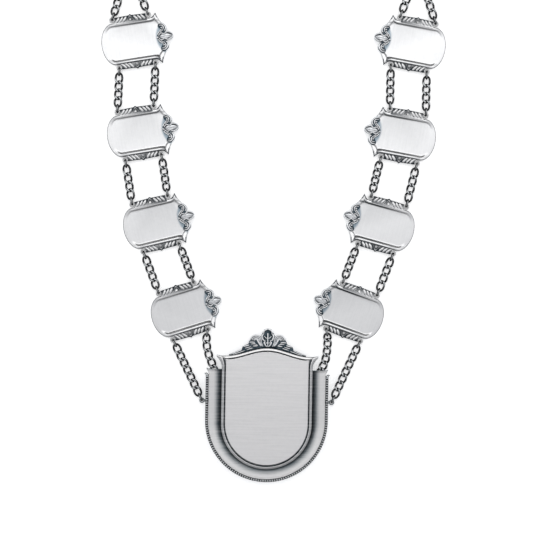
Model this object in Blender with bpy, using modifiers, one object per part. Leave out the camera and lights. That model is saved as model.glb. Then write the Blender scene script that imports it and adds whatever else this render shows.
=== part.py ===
"""A shooting guild chain laid flat: eight small shields and a pendant on curb chain.

Metres, +Z up. The neck arch points to +Y and the pendant to -Y. The origin is at the bottom centre.
"""

import math

import bmesh
import bpy
from mathutils import Matrix, Vector

MM = 0.001

# Fits
SEAT_GAP = 0.3 * MM  # between pieces that rest on each other
GROUND_GAP = 0.05 * MM  # under the lying links, so that the rings carry the weight

# Curb chain
LINK_WIRE = 1.3 * MM  # wire diameter
LINK_WIDTH = 6.05 * MM  # outside, across a link
LINK_PITCH = 5.6 * MM  # from link to link
LINK_TWIST = 45.0  # degrees that each end of a link is turned out of its plane
FUSE_DEPTH = 0.25 * MM  # how far touching links sink into each other
LOOP_WIDTH = 5.65 * MM  # outside diameter of the upright jump rings
LINK_SIDES = 10
WIRE_SIDES = 5
WIRE_START = 36.0  # degrees round a wire to the first corner of its section
RING_SIDES = 14
RING_WIRE_SIDES = 6

# Small shield: the tray
SHIELD_HALF_WIDTH = 14.7 * MM  # across, to the rolled long edge
SHIELD_END_LENGTH = 9.2 * MM  # of the round outer end
SHIELD_END_START = -13.8 * MM
SHIELD_FLARE_START = 13.2 * MM
SHIELD_HORN = Vector((17.85, 18.2)) * MM
SHIELD_CORNER = Vector((21.4, 9.9)) * MM  # where the hollow inner side reaches the crest
SHIELD_INNER_END = 22.2 * MM
SHIELD_SHEET = 0.9 * MM
ROLL_WIDTH = 2.9 * MM
ROLL_HEIGHT = 3.1 * MM
INNER_ROLL_SHARE = 0.45  # height of the inner side's bevel against the rolled edges

# Small shield: the bars
BAR_REACH = 3.6 * MM  # beyond the rolled edge
BAR_OVERLAP = 0.9 * MM  # under the rolled edge
BAR_PEAK = 1.1 * MM
BAR_PEAK_HALF_WIDTH = 1.5 * MM
BAR_END = 0.9 * MM  # from an eye's centre to the bar's inner corner
BAR_THICKNESS = 1.4 * MM
EYE_SPACING = 25.6 * MM
EYE_WIDTH = 4.5 * MM
EYE_HOLE = 2.2 * MM
EYE_OFFSET = 2.2 * MM  # eye centre beyond the rolled edge

# Small crest
CREST_PLATE = 1.3 * MM
CREST_RELIEF = 0.9 * MM
CREST_START = 15.6 * MM
CREST_LEAF_TIP = 28.0 * MM
CREST_HALF_WIDTH = 9.0 * MM
CREST_SCROLL_WIDTH = 4.6 * MM
CREST_EASE = 0.9  # how far a casting's upper edge is drawn in to its middle, as a share

# Pendant dish
DISH_HALF_WIDTH = 40.3 * MM  # to the rim of its upper face
DISH_FLOOR_HALF_WIDTH = 29.0 * MM
DISH_DEPTH = 9.6 * MM
DISH_TOP = 24.9 * MM  # top edge above the pendant's centre
DISH_ROUND_CENTRE = -10.8 * MM
DISH_SHEET = 0.9 * MM
DISH_HOLLOW = 1.2  # power of the side's rise: 1 is straight, more is hollow
DISH_LIP = 0.8 * MM
RIM_LEAN = 0.6  # how far the rim's lower edge stands out, as a share of the sheet
BEAD_WIRE = 2.0 * MM
BEAD_START = 21.4 * MM  # top of the beaded wire above the pendant's centre
SIDE_EYE_REACH = 45.4 * MM
SIDE_EYE_HEIGHT = 2.3 * MM
SIDE_ARM_WIDTH = 3.2 * MM
SIDE_ARM_ROOT = 0.42  # where an arm starts under the dish's side, as a share from floor to rim
REAR_LOOP_WIRE = 1.0 * MM
REAR_LOOP_SLACK = 0.2 * MM
POST_WIDTH = 6.0 * MM
POST_SPACING = 34.0 * MM
POST_SIDES = 10

# Pendant shield
FRONT_HALF_WIDTH = 31.7 * MM
FRONT_ROUND_CENTRE = -13.0 * MM
FRONT_FLARE_START = 26.0 * MM
FRONT_HORN = Vector((35.4, 34.2)) * MM
FRONT_TOP = 39.9 * MM
FRONT_SHOULDER = 34.1 * MM
FRONT_OGEE_REACH = 0.93  # where the top edge gets level, as a share of the half width
FRONT_HORN_INSET = Vector((1.35, 1.1))  # how fast the inset outline's horn moves in
FRONT_CORNER = Vector((0.3, 0.6)) * MM  # the horn's upper corner, in from the horn and above the top edge
FRONT_BASE = 6.0 * MM  # height of its back above the ground
FRONT_PLATE = 1.5 * MM
FRONT_RIM_WIDTH = 2.4 * MM
FRONT_RIM_RISE = 1.7 * MM
FRONT_BACK_INSET = 0.5 * MM  # of the flat back, from the edge

# Pendant crest
TOP_CREST_PLATE = 1.3 * MM
TOP_CREST_RELIEF = 1.5 * MM
TOP_CREST_RISE = 13.5 * MM
TOP_CREST_HALF_WIDTH = 26.2 * MM
TOP_CREST_SEAT = 4.0 * MM  # how far its foot reaches under the shield
TOP_CREST_GAP = 0.4 * MM  # between its face and the shield's edge

# Neck
TUBE_WIDTH = 3.8 * MM  # the tubes that stand for the finest strands
TUBE_END_GAP = 0.6 * MM
JOINING_RING_WIDTH = 12.0 * MM
JOINING_RING_WIRE = 1.6 * MM
CLASP_RING_WIDTH = 21.0 * MM
CLASP_RING_WIRE = 2.0 * MM

# Route: where each small shield lies, and its turn in degrees
SHIELD_PLACES = {
    "left_1": (-97.9 * MM, 85.9 * MM, 8.8),
    "left_2": (-94.0 * MM, 21.6 * MM, 9.3),
    "left_3": (-82.7 * MM, -42.0 * MM, 13.3),
    "left_4": (-63.2 * MM, -103.2 * MM, 17.2),
    "right_1": (98.0 * MM, 83.8 * MM, 169.2),
    "right_2": (91.1 * MM, 19.4 * MM, 169.5),
    "right_3": (76.1 * MM, -43.0 * MM, 164.4),
    "right_4": (54.6 * MM, -103.8 * MM, 159.9),
}
PENDANT_PLACE = (-4.8 * MM, -168.7 * MM, -1.0)
JOINING_PLACES = {"left": (-101.5 * MM, 139.5 * MM), "right": (101.7 * MM, 137.4 * MM)}
CLASP_PLACE = (0.0 * MM, 212.4 * MM)
NECK_ROUTES = {
    "left": ((-97.5, 152.7), (-90.9, 165.7), (-84.0, 177.7), (-74.0, 188.9), (-63.7, 196.6),
             (-49.5, 204.2), (-35.9, 209.5)),
    "right": ((97.7, 150.6), (91.0, 163.6), (84.1, 175.6), (74.2, 186.8), (63.9, 194.5),
              (49.6, 202.1), (36.0, 207.4)),
}
# The two slack strands, from shield to dish, in the pendant's own frame
SLACK_ROUTES = {
    "left": ((-43.2, 44.8), (-42.8, 39.9), (-41.8, 36.4), (-40.4, 31.5), (-38.3, 28.0)),
    "right": ((42.0, 47.6), (42.0, 41.6), (41.4, 36.3), (40.7, 30.9), (38.4, 26.9)),
}
REAR_LOOP_PLACES = {"left": (-36.8 * MM, 22.0 * MM, -76.0), "right": (36.8 * MM, 22.0 * MM, 252.0)}


def remove_everything():
    for old in list(bpy.data.objects):
        bpy.data.objects.remove(old, do_unlink=True)


def make_collection(name):
    collection = bpy.data.collections.new(name)
    bpy.context.scene.collection.children.link(collection)
    return collection


def make_material(name, colour, roughness):
    material = bpy.data.materials.new(name)
    material.use_nodes = True
    shader = material.node_tree.nodes["Principled BSDF"]
    shader.inputs["Base Color"].default_value = (*colour, 1.0)
    shader.inputs["Roughness"].default_value = roughness
    shader.inputs["Metallic"].default_value = 1.0
    material.diffuse_color = (*colour, 1.0)
    return material


remove_everything()
PARTS = make_collection("shooting_guild_chain")
GUIDES = make_collection("guides")
SILVER = make_material("brushed_silver", (0.80, 0.80, 0.81), 0.34)
CAST_SILVER = make_material("cast_silver", (0.42, 0.44, 0.46), 0.38)
CHAIN_SILVER = make_material("oxidised_chain_silver", (0.26, 0.28, 0.29), 0.36)


def add_object(name, mesh, material, place=Matrix.Identity(4), collection=PARTS):
    """Put a mesh in a collection at a place, with its material."""
    thing = bpy.data.objects.new(name, mesh)
    thing.matrix_world = place
    collection.objects.link(thing)
    mesh.materials.clear()
    mesh.materials.append(material)
    return thing


def place_at(x, y, turn_degrees, z=0.0):
    return Matrix.Translation((x, y, z)) @ Matrix.Rotation(math.radians(turn_degrees), 4, "Z")


def baked_mesh(thing):
    """The evaluated mesh of an object, with loose caps welded; the object is removed."""
    bpy.context.view_layer.update()
    evaluated = thing.evaluated_get(bpy.context.evaluated_depsgraph_get())
    mesh = bpy.data.meshes.new_from_object(evaluated)
    data = thing.data
    bpy.data.objects.remove(thing, do_unlink=True)
    if isinstance(data, bpy.types.Curve):
        bpy.data.curves.remove(data)
    bm = bmesh.new()
    bm.from_mesh(mesh)
    bmesh.ops.remove_doubles(bm, verts=bm.verts, dist=0.001 * MM)
    bmesh.ops.recalc_face_normals(bm, faces=bm.faces)
    bm.to_mesh(mesh)
    bm.free()
    return mesh


def smooth(mesh, angle=35.0):
    mesh.shade_smooth()
    mesh.set_sharp_from_angle(angle=math.radians(angle))
    return mesh


def fuse(meshes):
    """Join closed meshes into one body, as solder does."""
    base = add_object("fused", meshes[0], SILVER, collection=GUIDES)
    others = []
    for index, mesh in enumerate(meshes[1:]):
        other = add_object(f"fused_{index}", mesh, SILVER, collection=GUIDES)
        union = base.modifiers.new(f"union_{index}", "BOOLEAN")
        union.operation = "UNION"
        union.solver = "EXACT"
        union.object = other
        others.append(other)
    result = baked_mesh(base)
    for other in others:
        bpy.data.objects.remove(other, do_unlink=True)
    return result


def moved(mesh, place):
    mesh.transform(place)
    return mesh


def loft(rings):
    """A closed skin over rings of points, with a flat cap on the first and the last."""
    bm = bmesh.new()
    rows = [[bm.verts.new(point) for point in ring] for ring in rings]
    count = len(rows[0])
    for row, following in zip(rows, rows[1:]):
        for index in range(count):
            after = (index + 1) % count
            bm.faces.new((row[index], row[after], following[after], following[index]))
    bm.faces.new(rows[0])
    bm.faces.new(reversed(rows[-1]))
    bmesh.ops.recalc_face_normals(bm, faces=bm.faces)
    mesh = bpy.data.meshes.new("loft")
    bm.to_mesh(mesh)
    bm.free()
    return mesh


def plate(outline, holes, thickness):
    """A flat plate with holes, centred on its own mid-plane."""
    curve = bpy.data.curves.new("plate", "CURVE")
    curve.dimensions = "2D"
    curve.fill_mode = "BOTH"
    curve.extrude = thickness / 2
    for points in (outline, *holes):
        spline = curve.splines.new("POLY")
        spline.points.add(len(points) - 1)
        for target, (x, y) in zip(spline.points, points):
            target.co = (x, y, 0.0, 1.0)
        spline.use_cyclic_u = True
    return baked_mesh(add_curve(curve))


def add_curve(curve):
    thing = bpy.data.objects.new(curve.name, curve)
    GUIDES.objects.link(thing)
    return thing


def circle(centre, radius, sides, start=0.0, sweep=360.0):
    """Points round a circle; a part sweep includes both of its ends."""
    steps = sides if sweep == 360.0 else sides - 1
    angles = [math.radians(start + sweep * index / steps) for index in range(sides)]
    return [(centre[0] + radius * math.cos(a), centre[1] + radius * math.sin(a)) for a in angles]


def wire_profile(diameter, sides):
    """The cross-section that a round wire's curve carries."""
    curve = bpy.data.curves.new("wire_profile", "CURVE")
    spline = curve.splines.new("POLY")
    spline.points.add(sides - 1)
    for target, (x, y) in zip(spline.points, circle((0.0, 0.0), diameter / 2, sides, WIRE_START)):
        target.co = (x, y, 0.0, 1.0)
    spline.use_cyclic_u = True
    return add_curve(curve)


def closed_wires(loops, diameter, sides):
    """One mesh of closed wire loops that do not touch each other."""
    curve = bpy.data.curves.new("wires", "CURVE")
    curve.dimensions = "3D"
    curve.bevel_mode = "OBJECT"
    profile = wire_profile(diameter, sides)
    curve.bevel_object = profile
    for points in loops:
        spline = curve.splines.new("POLY")
        spline.points.add(len(points) - 1)
        for target, point in zip(spline.points, points):
            target.co = (*point, 1.0)
        spline.use_cyclic_u = True
    mesh = baked_mesh(add_curve(curve))
    profile_curve = profile.data
    bpy.data.objects.remove(profile, do_unlink=True)
    bpy.data.curves.remove(profile_curve)
    return mesh


def open_tube(points, diameter, resolution=2):
    """A round tube with filled caps along a row of points."""
    curve = bpy.data.curves.new("tube", "CURVE")
    curve.dimensions = "3D"
    curve.bevel_depth = diameter / 2
    curve.bevel_resolution = resolution
    curve.use_fill_caps = True
    spline = curve.splines.new("POLY")
    spline.points.add(len(points) - 1)
    for target, point in zip(spline.points, points):
        target.co = (*point, 1.0)
    return baked_mesh(add_curve(curve))


# Chain

CORNER_SPREAD = 1 / math.cos(math.pi / LINK_SIDES)  # links meet at the middle of a side, not at a corner
LOOP_RADIUS = (LOOP_WIDTH - LINK_WIRE) / 2
LOOP_HEIGHT = LOOP_RADIUS * CORNER_SPREAD + LINK_WIRE / 2  # the upright loops stand on the ground
LINK_HALF_WIDTH = (LINK_WIDTH - LINK_WIRE) / 2
LINK_NEST = LINK_WIRE - FUSE_DEPTH  # between the wire centres of two linked bows


def link_point(share, half_length, first_twist, last_twist):
    """A point of one curb link that lies along X, twisted from its first bow to its last."""
    angle = math.tau * share
    x = half_length * math.cos(angle)
    along = (x / half_length + 1) / 2
    twist = math.radians(first_twist + (last_twist - first_twist) * along)
    across = LINK_HALF_WIDTH * math.sin(angle)
    return Vector((x, across * math.cos(twist), across * math.sin(twist)))


def lying_height():
    """How high the middle of a twisted link lies above the ground."""
    points = [link_point(step / 72, 1.0, LINK_TWIST, -LINK_TWIST) for step in range(72)]
    return max(point.z for point in points) + LINK_WIRE / 2 + GROUND_GAP


LINK_LIE = lying_height()


def link_loop(start, end, first_twist, last_twist):
    """The closed centre line of a curb link between two joints of the chain."""
    chord = end - start
    half_length = (chord.length + LINK_NEST) / 2 * CORNER_SPREAD
    along = chord.normalized()
    across = Vector((0.0, 0.0, 1.0)).cross(along).normalized()
    frame = Matrix((along, across, along.cross(across))).transposed()
    middle = (start + end) / 2
    shares = [(step + 0.5) / LINK_SIDES for step in range(LINK_SIDES)]
    return [middle + frame @ link_point(share, half_length, first_twist, last_twist) for share in shares]


def upright_loop(hook, towards):
    """The centre line of a jump ring that stands on the ground through a hook point."""
    along = Vector((towards.x - hook.x, towards.y - hook.y, 0.0)).normalized()
    centre = Vector((hook.x, hook.y, LOOP_HEIGHT)) + along * LOOP_RADIUS
    loop = []
    for step in range(LINK_SIDES):
        angle = math.tau * (step + 0.5) / LINK_SIDES
        spoke = along * math.cos(angle) + Vector((0.0, 0.0, math.sin(angle)))
        loop.append(centre + LOOP_RADIUS * CORNER_SPREAD * spoke)
    joint = centre + along * (LOOP_RADIUS - LINK_NEST / 2)
    return loop, joint


def smooth_route(points, steps=12):
    """Points on one smooth curve through the route's own points."""
    guide = [2 * points[0] - points[1], *points, 2 * points[-1] - points[-2]]
    route = []
    for before, here, there, after in zip(guide, guide[1:], guide[2:], guide[3:]):
        for step in range(steps):
            t = step / steps
            route.append(0.5 * (2 * here + (there - before) * t
                                + (2 * before - 5 * here + 4 * there - after) * t * t
                                + (3 * here - before - 3 * there + after) * t ** 3))
    route.append(points[-1])
    return route


def spaced(route, count):
    """Points at equal distances along a route, both ends included."""
    lengths = [0.0]
    for here, there in zip(route, route[1:]):
        lengths.append(lengths[-1] + (there - here).length)
    result = []
    segment = 0
    for index in range(count + 1):
        target = lengths[-1] * index / count
        while segment < len(route) - 2 and lengths[segment + 1] < target:
            segment += 1
        part = (target - lengths[segment]) / (lengths[segment + 1] - lengths[segment])
        result.append(route[segment].lerp(route[segment + 1], part))
    return result


def lay_down(joints):
    """Give a strand's joints their heights: on the ground, rising to the upright loops at the ends."""
    last = len(joints) - 1
    for index, joint in enumerate(joints):
        rise = abs(2 * index / last - 1)
        joint.z = LINK_LIE + (LOOP_HEIGHT - LINK_LIE) * rise ** 3
    return joints


def chain_mesh(first, last):
    """A strand of curb links fused into one body, with an upright loop through each hook point."""
    first_loop, start = upright_loop(first, last)
    last_loop, end = upright_loop(last, first)
    joints = lay_down(spaced([start, end], round((end - start).length / LINK_PITCH)))
    twists = [0.0, *[LINK_TWIST] * (len(joints) - 2), 0.0]  # a bow that holds a jump ring lies flat
    links = [link_loop(here, there, twist, -next_twist) for here, there, twist, next_twist
             in zip(joints, joints[1:], twists, twists[1:])]
    pieces = [first_loop, *links, last_loop]
    even = closed_wires(pieces[0::2], LINK_WIRE, WIRE_SIDES)
    odd = closed_wires(pieces[1::2], LINK_WIRE, WIRE_SIDES)
    return smooth(fuse([even, odd]))


def strand_tube(first, last, first_margin, last_margin, between=()):
    """A plain tube along a finer strand, clear of what holds each end by a margin."""
    route = [Vector((point.x, point.y, TUBE_WIDTH / 2)) for point in (first, *between, last)]
    route[0] = route[0] + (route[1] - route[0]).normalized() * first_margin
    route[-1] = route[-1] + (route[-2] - route[-1]).normalized() * last_margin
    curve = smooth_route(route)
    length = sum((there - here).length for here, there in zip(curve, curve[1:]))
    return smooth(open_tube(spaced(curve, max(1, round(length / (TUBE_WIDTH * 2.5)))), TUBE_WIDTH))


def lying_ring(width, wire):
    """A plain ring that lies level in the upright loops."""
    level = circle((0.0, 0.0), (width - wire) / 2, RING_SIDES)
    return smooth(closed_wires([[Vector((x, y, LOOP_HEIGHT)) for x, y in level]], wire, RING_WIRE_SIDES))


# Small shields

# The tray's section from the field over the rolled edge to the foot: how far in from the edge, as a share
# of the roll's width; height of a plain edge, as a share of the sheet; rise where the edge is rolled
TRAY_SECTION = (
    ("field", 1.00, 1.00, 0.00),
    ("slope", 0.66, 1.00, 0.28),
    ("crest", 0.34, 0.97, 1.00),
    ("edge", 0.00, 0.55, 0.72),
    ("foot", 0.40, 0.00, 0.00),
)
HORN_INSET = Vector((0.50, 2.00))  # how fast the inset outline's horn moves in
CORNER_INSET = Vector((0.77, 0.29))


def shield_half_outline(inset):
    """Half of the tray's outline, inset by a distance: x along, y across, and how far it is rolled."""
    half_width = SHIELD_HALF_WIDTH - inset
    horn = SHIELD_HORN - inset * HORN_INSET
    corner = SHIELD_CORNER - inset * CORNER_INSET
    points = []
    for angle, rolled in ((180, 0.0), (156, 0.0), (134, 0.0), (112, 0.15), (90, 0.7)):
        x = SHIELD_END_START + (SHIELD_END_LENGTH - inset) * math.cos(math.radians(angle))
        points.append((x, half_width * math.sin(math.radians(angle)), rolled))
    points.append((SHIELD_END_START + SHIELD_END_LENGTH / 3, half_width, 1.0))
    for share in (0.0, 0.55, 1.0):
        x = SHIELD_FLARE_START + (horn.x - SHIELD_FLARE_START) * share
        y = half_width + (horn.y - half_width) * share ** 2
        points.append((x, y, 1.0 - 0.2 * share))
    for share in (0.5, 1.0):
        x = horn.x + (corner.x - horn.x) * share ** 1.5
        y = horn.y + (corner.y - horn.y) * share
        points.append((x, y, 0.8 + (INNER_ROLL_SHARE - 0.8) * share))
    points.append((SHIELD_INNER_END - inset, 0.0, INNER_ROLL_SHARE))
    return points


def tray_mesh():
    rings = []
    for _, inset_share, plain, rise in TRAY_SECTION:
        half = shield_half_outline(inset_share * ROLL_WIDTH)
        whole = half + [(x, -y, rolled) for x, y, rolled in reversed(half[1:-1])]
        rings.append([Vector((x, y, plain * SHIELD_SHEET + rise * rolled * ROLL_HEIGHT))
                      for x, y, rolled in whole])
    return loft(rings)


def bar_mesh():
    """The ornamented bar along one long edge, with an eye at each end."""
    inner = SHIELD_HALF_WIDTH - BAR_OVERLAP
    outer = SHIELD_HALF_WIDTH + BAR_REACH
    eye_x = EYE_SPACING / 2
    eye_y = SHIELD_HALF_WIDTH + EYE_OFFSET
    right_eye = circle((eye_x, eye_y), EYE_WIDTH / 2, 5, start=-75.0, sweep=210.0)
    right = [(eye_x + BAR_END, inner), *right_eye, (BAR_PEAK_HALF_WIDTH, outer)]
    left = [(-x, y) for x, y in reversed(right)]
    outline = [*right, (0.0, outer + BAR_PEAK), *left]
    holes = [circle((side * eye_x, eye_y), EYE_HOLE / 2, 6, start=15.0 * side) for side in (-1, 1)]
    return moved(plate(outline, holes, BAR_THICKNESS), Matrix.Translation((0.0, 0.0, LOOP_HEIGHT)))


def shield_mesh():
    other_side = Matrix.Scale(-1.0, 4, (0.0, 1.0, 0.0))
    second = moved(bar_mesh(), other_side)
    second.flip_normals()
    return smooth(fuse([tray_mesh(), bar_mesh(), second]))


# The leaf and the scrolls that stand on the crest's plate: place along, as a share of the crest's length,
# and across, as a share of its half width; length, in shares of the crest's; width, in scroll widths; rise,
# in shares of the relief; and sides
CREST_BOSSES = (
    ("leaf", 0.58, 0.00, 0.74, 1.0, 1.00, 6),
    ("upper scroll", 0.46, 0.67, 0.37, 1.0, 0.85, 7),
    ("lower scroll", 0.46, -0.67, 0.37, 1.0, 0.85, 7),
)
CREST_MIDDLE = 0.45  # centre of its eased edge, as a share of the crest's length
CREST_HALF_OUTLINE = (
    # along, as a share of the crest's length; across, as a share of its half width
    ("inner middle", 0.00, 0.00),
    ("inner side", 0.11, 0.54),
    ("scroll foot", 0.22, 0.97),
    ("scroll end", 0.48, 1.00),
    ("scroll top", 0.68, 0.72),
    ("scroll fold", 0.62, 0.40),
    ("notch", 0.51, 0.29),
    ("leaf side", 0.70, 0.33),
    ("leaf tip", 1.00, 0.00),
)


def knob(x, y, length, width, base, height, sides):
    """A low boss: a cone cut off near its top."""
    bm = bmesh.new()
    bmesh.ops.create_cone(bm, cap_ends=True, segments=sides, radius1=0.5, radius2=0.2, depth=1.0)
    bmesh.ops.scale(bm, vec=(length, width, height), verts=bm.verts)
    bmesh.ops.translate(bm, vec=(x, y, base + height / 2), verts=bm.verts)
    mesh = bpy.data.meshes.new("knob")
    bm.to_mesh(mesh)
    bm.free()
    return mesh


def mirrored_outline(half):
    return half + [(x, -y) for x, y in reversed(half) if abs(y) > 0.01 * MM]


def cushion_plate(outline, centre, base, thickness):
    """A plate whose top edge is eased in towards a centre."""
    middle = Vector(centre)
    eased = [middle + (Vector(point) - middle) * CREST_EASE for point in outline]
    return loft([
        [Vector((x, y, base)) for x, y in outline],
        [Vector((x, y, base + thickness)) for x, y in eased],
    ])


def crest_mesh():
    length = CREST_LEAF_TIP - CREST_START
    half = [(CREST_START + along * length, across * CREST_HALF_WIDTH)
            for _, along, across in CREST_HALF_OUTLINE]
    base = SHIELD_SHEET + INNER_ROLL_SHARE * ROLL_HEIGHT + SEAT_GAP
    middle = CREST_START + CREST_MIDDLE * length
    pieces = [cushion_plate(mirrored_outline(half), (middle, 0.0), base, CREST_PLATE)]
    sunk = base + CREST_PLATE / 2
    height = CREST_PLATE / 2 + CREST_RELIEF
    for _, along, across, boss_length, boss_width, rise, sides in CREST_BOSSES:
        pieces.append(knob(CREST_START + along * length, across * CREST_HALF_WIDTH, boss_length * length,
                           boss_width * CREST_SCROLL_WIDTH, sunk, rise * height, sides))
    return smooth(fuse(pieces))


# Pendant

def dish_route(inset):
    """The dish's outline from its top left down, round and up to its top right, inset by a distance."""
    half_width = DISH_HALF_WIDTH - inset
    side = [DISH_TOP, DISH_TOP - 2 * DISH_LIP, DISH_TOP / 2, 0.0]
    points = [(-half_width, y) for y in side]
    for step in range(11):
        angle = math.pi + math.pi * step / 10
        points.append((half_width * math.cos(angle), DISH_ROUND_CENTRE + half_width * math.sin(angle)))
    points += [(half_width, y) for y in reversed(side)]
    return points


def dish_height(inset):
    share = 1 - inset / (DISH_HALF_WIDTH - DISH_FLOOR_HALF_WIDTH)
    return DISH_SHEET + (DISH_DEPTH - DISH_SHEET) * share ** DISH_HOLLOW


def dish_shell():
    """The hollow dish: an open surface given its sheet's thickness downwards."""
    bm = bmesh.new()
    rows = []
    for share in (0.0, 0.35, 0.7, 1.0):
        inset = share * (DISH_HALF_WIDTH - DISH_FLOOR_HALF_WIDTH)
        route = dish_route(inset)
        rows.append([bm.verts.new((x, y, dish_height(inset))) for x, y in route])
    for row, following in zip(rows, rows[1:]):
        for index in range(len(row) - 1):
            bm.faces.new((row[index], row[index + 1], following[index + 1], following[index]))
    inner = rows[-1]
    bm.faces.new((inner[0], inner[1], inner[-2], inner[-1]))
    bm.faces.new(inner[1:-1])
    bmesh.ops.recalc_face_normals(bm, faces=bm.faces)
    for row in rows:
        for vertex in (row[0], row[-1]):
            vertex.co.z += DISH_LIP
    bm.normal_update()
    if bm.faces[-1].normal.z < 0:
        bmesh.ops.reverse_faces(bm, faces=bm.faces)
    mesh = bpy.data.meshes.new("dish")
    bm.to_mesh(mesh)
    bm.free()
    shell = add_object("dish_shell", mesh, SILVER, collection=GUIDES)
    sheet = shell.modifiers.new("sheet", "SOLIDIFY")
    sheet.thickness = DISH_SHEET
    sheet.offset = -1.0
    sheet.use_even_offset = True
    return baked_mesh(shell)


def side_arm(side):
    """The arm soldered under the dish that carries a side eye."""
    eye_x = SIDE_EYE_REACH
    root = DISH_FLOOR_HALF_WIDTH + SIDE_ARM_ROOT * (DISH_HALF_WIDTH - DISH_FLOOR_HALF_WIDTH)
    eye = circle((eye_x, 0.0), EYE_WIDTH / 2, 7, start=-135.0, sweep=270.0)
    outline = [(root, -SIDE_ARM_WIDTH / 2), *eye, (root, SIDE_ARM_WIDTH / 2)]
    arm = plate(outline, [circle((eye_x, 0.0), EYE_HOLE / 2, 6)], BAR_THICKNESS)
    turn = Matrix.Rotation(0.0 if side > 0 else math.pi, 4, "Z")
    return moved(arm, Matrix.Translation((0.0, SIDE_EYE_HEIGHT, LOOP_HEIGHT)) @ turn)


def rear_loop(side):
    """The wire staple behind the dish's top corner that holds a slack strand's last link."""
    x, y, turn = REAR_LOOP_PLACES[side]
    far = 2 * (REAR_LOOP_WIRE / 2 + SEAT_GAP + LINK_WIRE / 2) + REAR_LOOP_SLACK
    low = REAR_LOOP_WIRE / 2
    route = [(0.0, 0.0), (0.0, low), (far, low), (far, 0.0)]
    frame = place_at(x, y, turn)
    points = []
    for index, (along, z) in enumerate(route):
        point = frame @ Vector((along, 0.0, z))
        if index in (0, 3):
            inset = DISH_HALF_WIDTH - abs(point.x)
            point.z = dish_height(inset) - DISH_SHEET / 2
        points.append(point)
    return open_tube(points, REAR_LOOP_WIRE, 1)


def post(x):
    """A stud on the dish's floor that carries the front shield."""
    height = FRONT_BASE - SEAT_GAP - DISH_SHEET / 2
    bm = bmesh.new()
    bmesh.ops.create_cone(bm, cap_ends=True, segments=POST_SIDES, radius1=POST_WIDTH / 2,
                          radius2=POST_WIDTH / 2, depth=height)
    bmesh.ops.translate(bm, vec=(x, 0.0, DISH_SHEET / 2 + height / 2), verts=bm.verts)
    mesh = bpy.data.meshes.new("post")
    bm.to_mesh(mesh)
    bm.free()
    return mesh


def dish_mesh():
    pieces = [dish_shell()]
    pieces += [side_arm(side) for side in (-1, 1)]
    pieces += [rear_loop(side) for side in ("left", "right")]
    pieces += [post(side * POST_SPACING / 2) for side in (-1, 1)]
    return smooth(fuse(pieces))


def bead_wire_mesh():
    """The wire round the dish's rim, whose beads show in the finish."""
    offset = -(SEAT_GAP + BEAD_WIRE / 2 + DISH_SHEET * RIM_LEAN)
    level = DISH_DEPTH - BEAD_WIRE / 4
    route = [point for point in dish_route(offset) if point[1] < BEAD_START]
    ends = [(route[0][0], BEAD_START), (route[-1][0], BEAD_START)]
    points = [Vector((x, y, level)) for x, y in (ends[0], *route, ends[1])]
    return smooth(open_tube(points, BEAD_WIRE, 1))


FRONT_SECTION = (
    # how far in from the edge and how high above the plate's top, in shares of the rim's width and rise
    ("groove side", 1.30, 0.00),
    ("groove", 1.15, -0.25),
    ("rim side", 0.80, 0.70),
    ("rim top", 0.45, 1.00),
    ("edge", 0.00, 0.30),
)


def front_top(x, inset):
    """The ogee of the top edge: a high middle that falls to level shoulders."""
    share = min(1.0, abs(x) / (FRONT_HALF_WIDTH * FRONT_OGEE_REACH))
    fall = 0.5 - 0.5 * math.cos(math.pi * share)
    return FRONT_TOP - inset + (FRONT_SHOULDER - FRONT_TOP) * fall


def front_outline(inset):
    """The front shield's outline, inset by a distance, from its bottom round its right side."""
    half_width = FRONT_HALF_WIDTH - inset
    horn = FRONT_HORN - inset * FRONT_HORN_INSET
    right = []
    for step in range(7):
        angle = -math.pi / 2 + math.pi / 2 * step / 6
        right.append((half_width * math.cos(angle), FRONT_ROUND_CENTRE + half_width * math.sin(angle)))
    for share in (0.0, 0.5, 1.0):
        y = FRONT_FLARE_START + (horn.y - FRONT_FLARE_START) * share
        right.append((half_width + (horn.x - half_width) * share ** 2, y))
    right.append((horn.x - FRONT_CORNER.x, front_top(horn.x, inset) + FRONT_CORNER.y))
    for share in (0.85, 0.68, 0.51, 0.34, 0.17, 0.0):
        x = FRONT_HALF_WIDTH * share
        right.append((x, front_top(x, inset)))
    left = [(-x, y) for x, y in reversed(right[1:-1])]
    return right + left


def front_shield_mesh():
    top = FRONT_BASE + FRONT_PLATE
    rings = []
    for _, inset_share, rise in FRONT_SECTION:
        outline = front_outline(inset_share * FRONT_RIM_WIDTH)
        rings.append([Vector((x, y, top + rise * FRONT_RIM_RISE)) for x, y in outline])
    rings.append([Vector((x, y, FRONT_BASE)) for x, y in front_outline(FRONT_BACK_INSET)])
    return smooth(loft(rings))


# The leaf and the volutes that stand on the crest's plate: place across, as a share of the crest's half
# width, and up, as a share of its rise above the shield; width and height, in the same shares; rise above
# the plate, in shares of the leaf's
TOP_CREST_BOSSES = (
    ("leaf", 0.00, 0.55, 0.30, 0.70, 1.00),
    ("left volute", -0.34, 0.38, 0.20, 0.40, 0.85),
    ("right volute", 0.34, 0.38, 0.20, 0.40, 0.85),
)
TOP_CREST_BOSS_SIDES = 8
TOP_CREST_MIDDLE = 0.1  # centre of its eased edge, as a share of its rise
TOP_CREST_EDGE = (
    # across, as a share of the crest's half width; up, as a share of its rise above the shield
    ("tail tip", 1.00, -0.333),
    ("tail", 0.82, -0.190),
    ("second step foot", 0.68, -0.020),
    ("second step", 0.66, 0.050),
    ("first step foot", 0.55, 0.105),
    ("first step", 0.51, 0.280),
    ("scroll side", 0.48, 0.420),
    ("scroll shoulder", 0.43, 0.600),
    ("scroll top", 0.33, 0.675),
    ("scroll fold", 0.23, 0.600),
    ("leaf side", 0.18, 0.650),
    ("leaf shoulder", 0.16, 0.860),
    ("leaf top", 0.00, 1.000),
)


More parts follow.
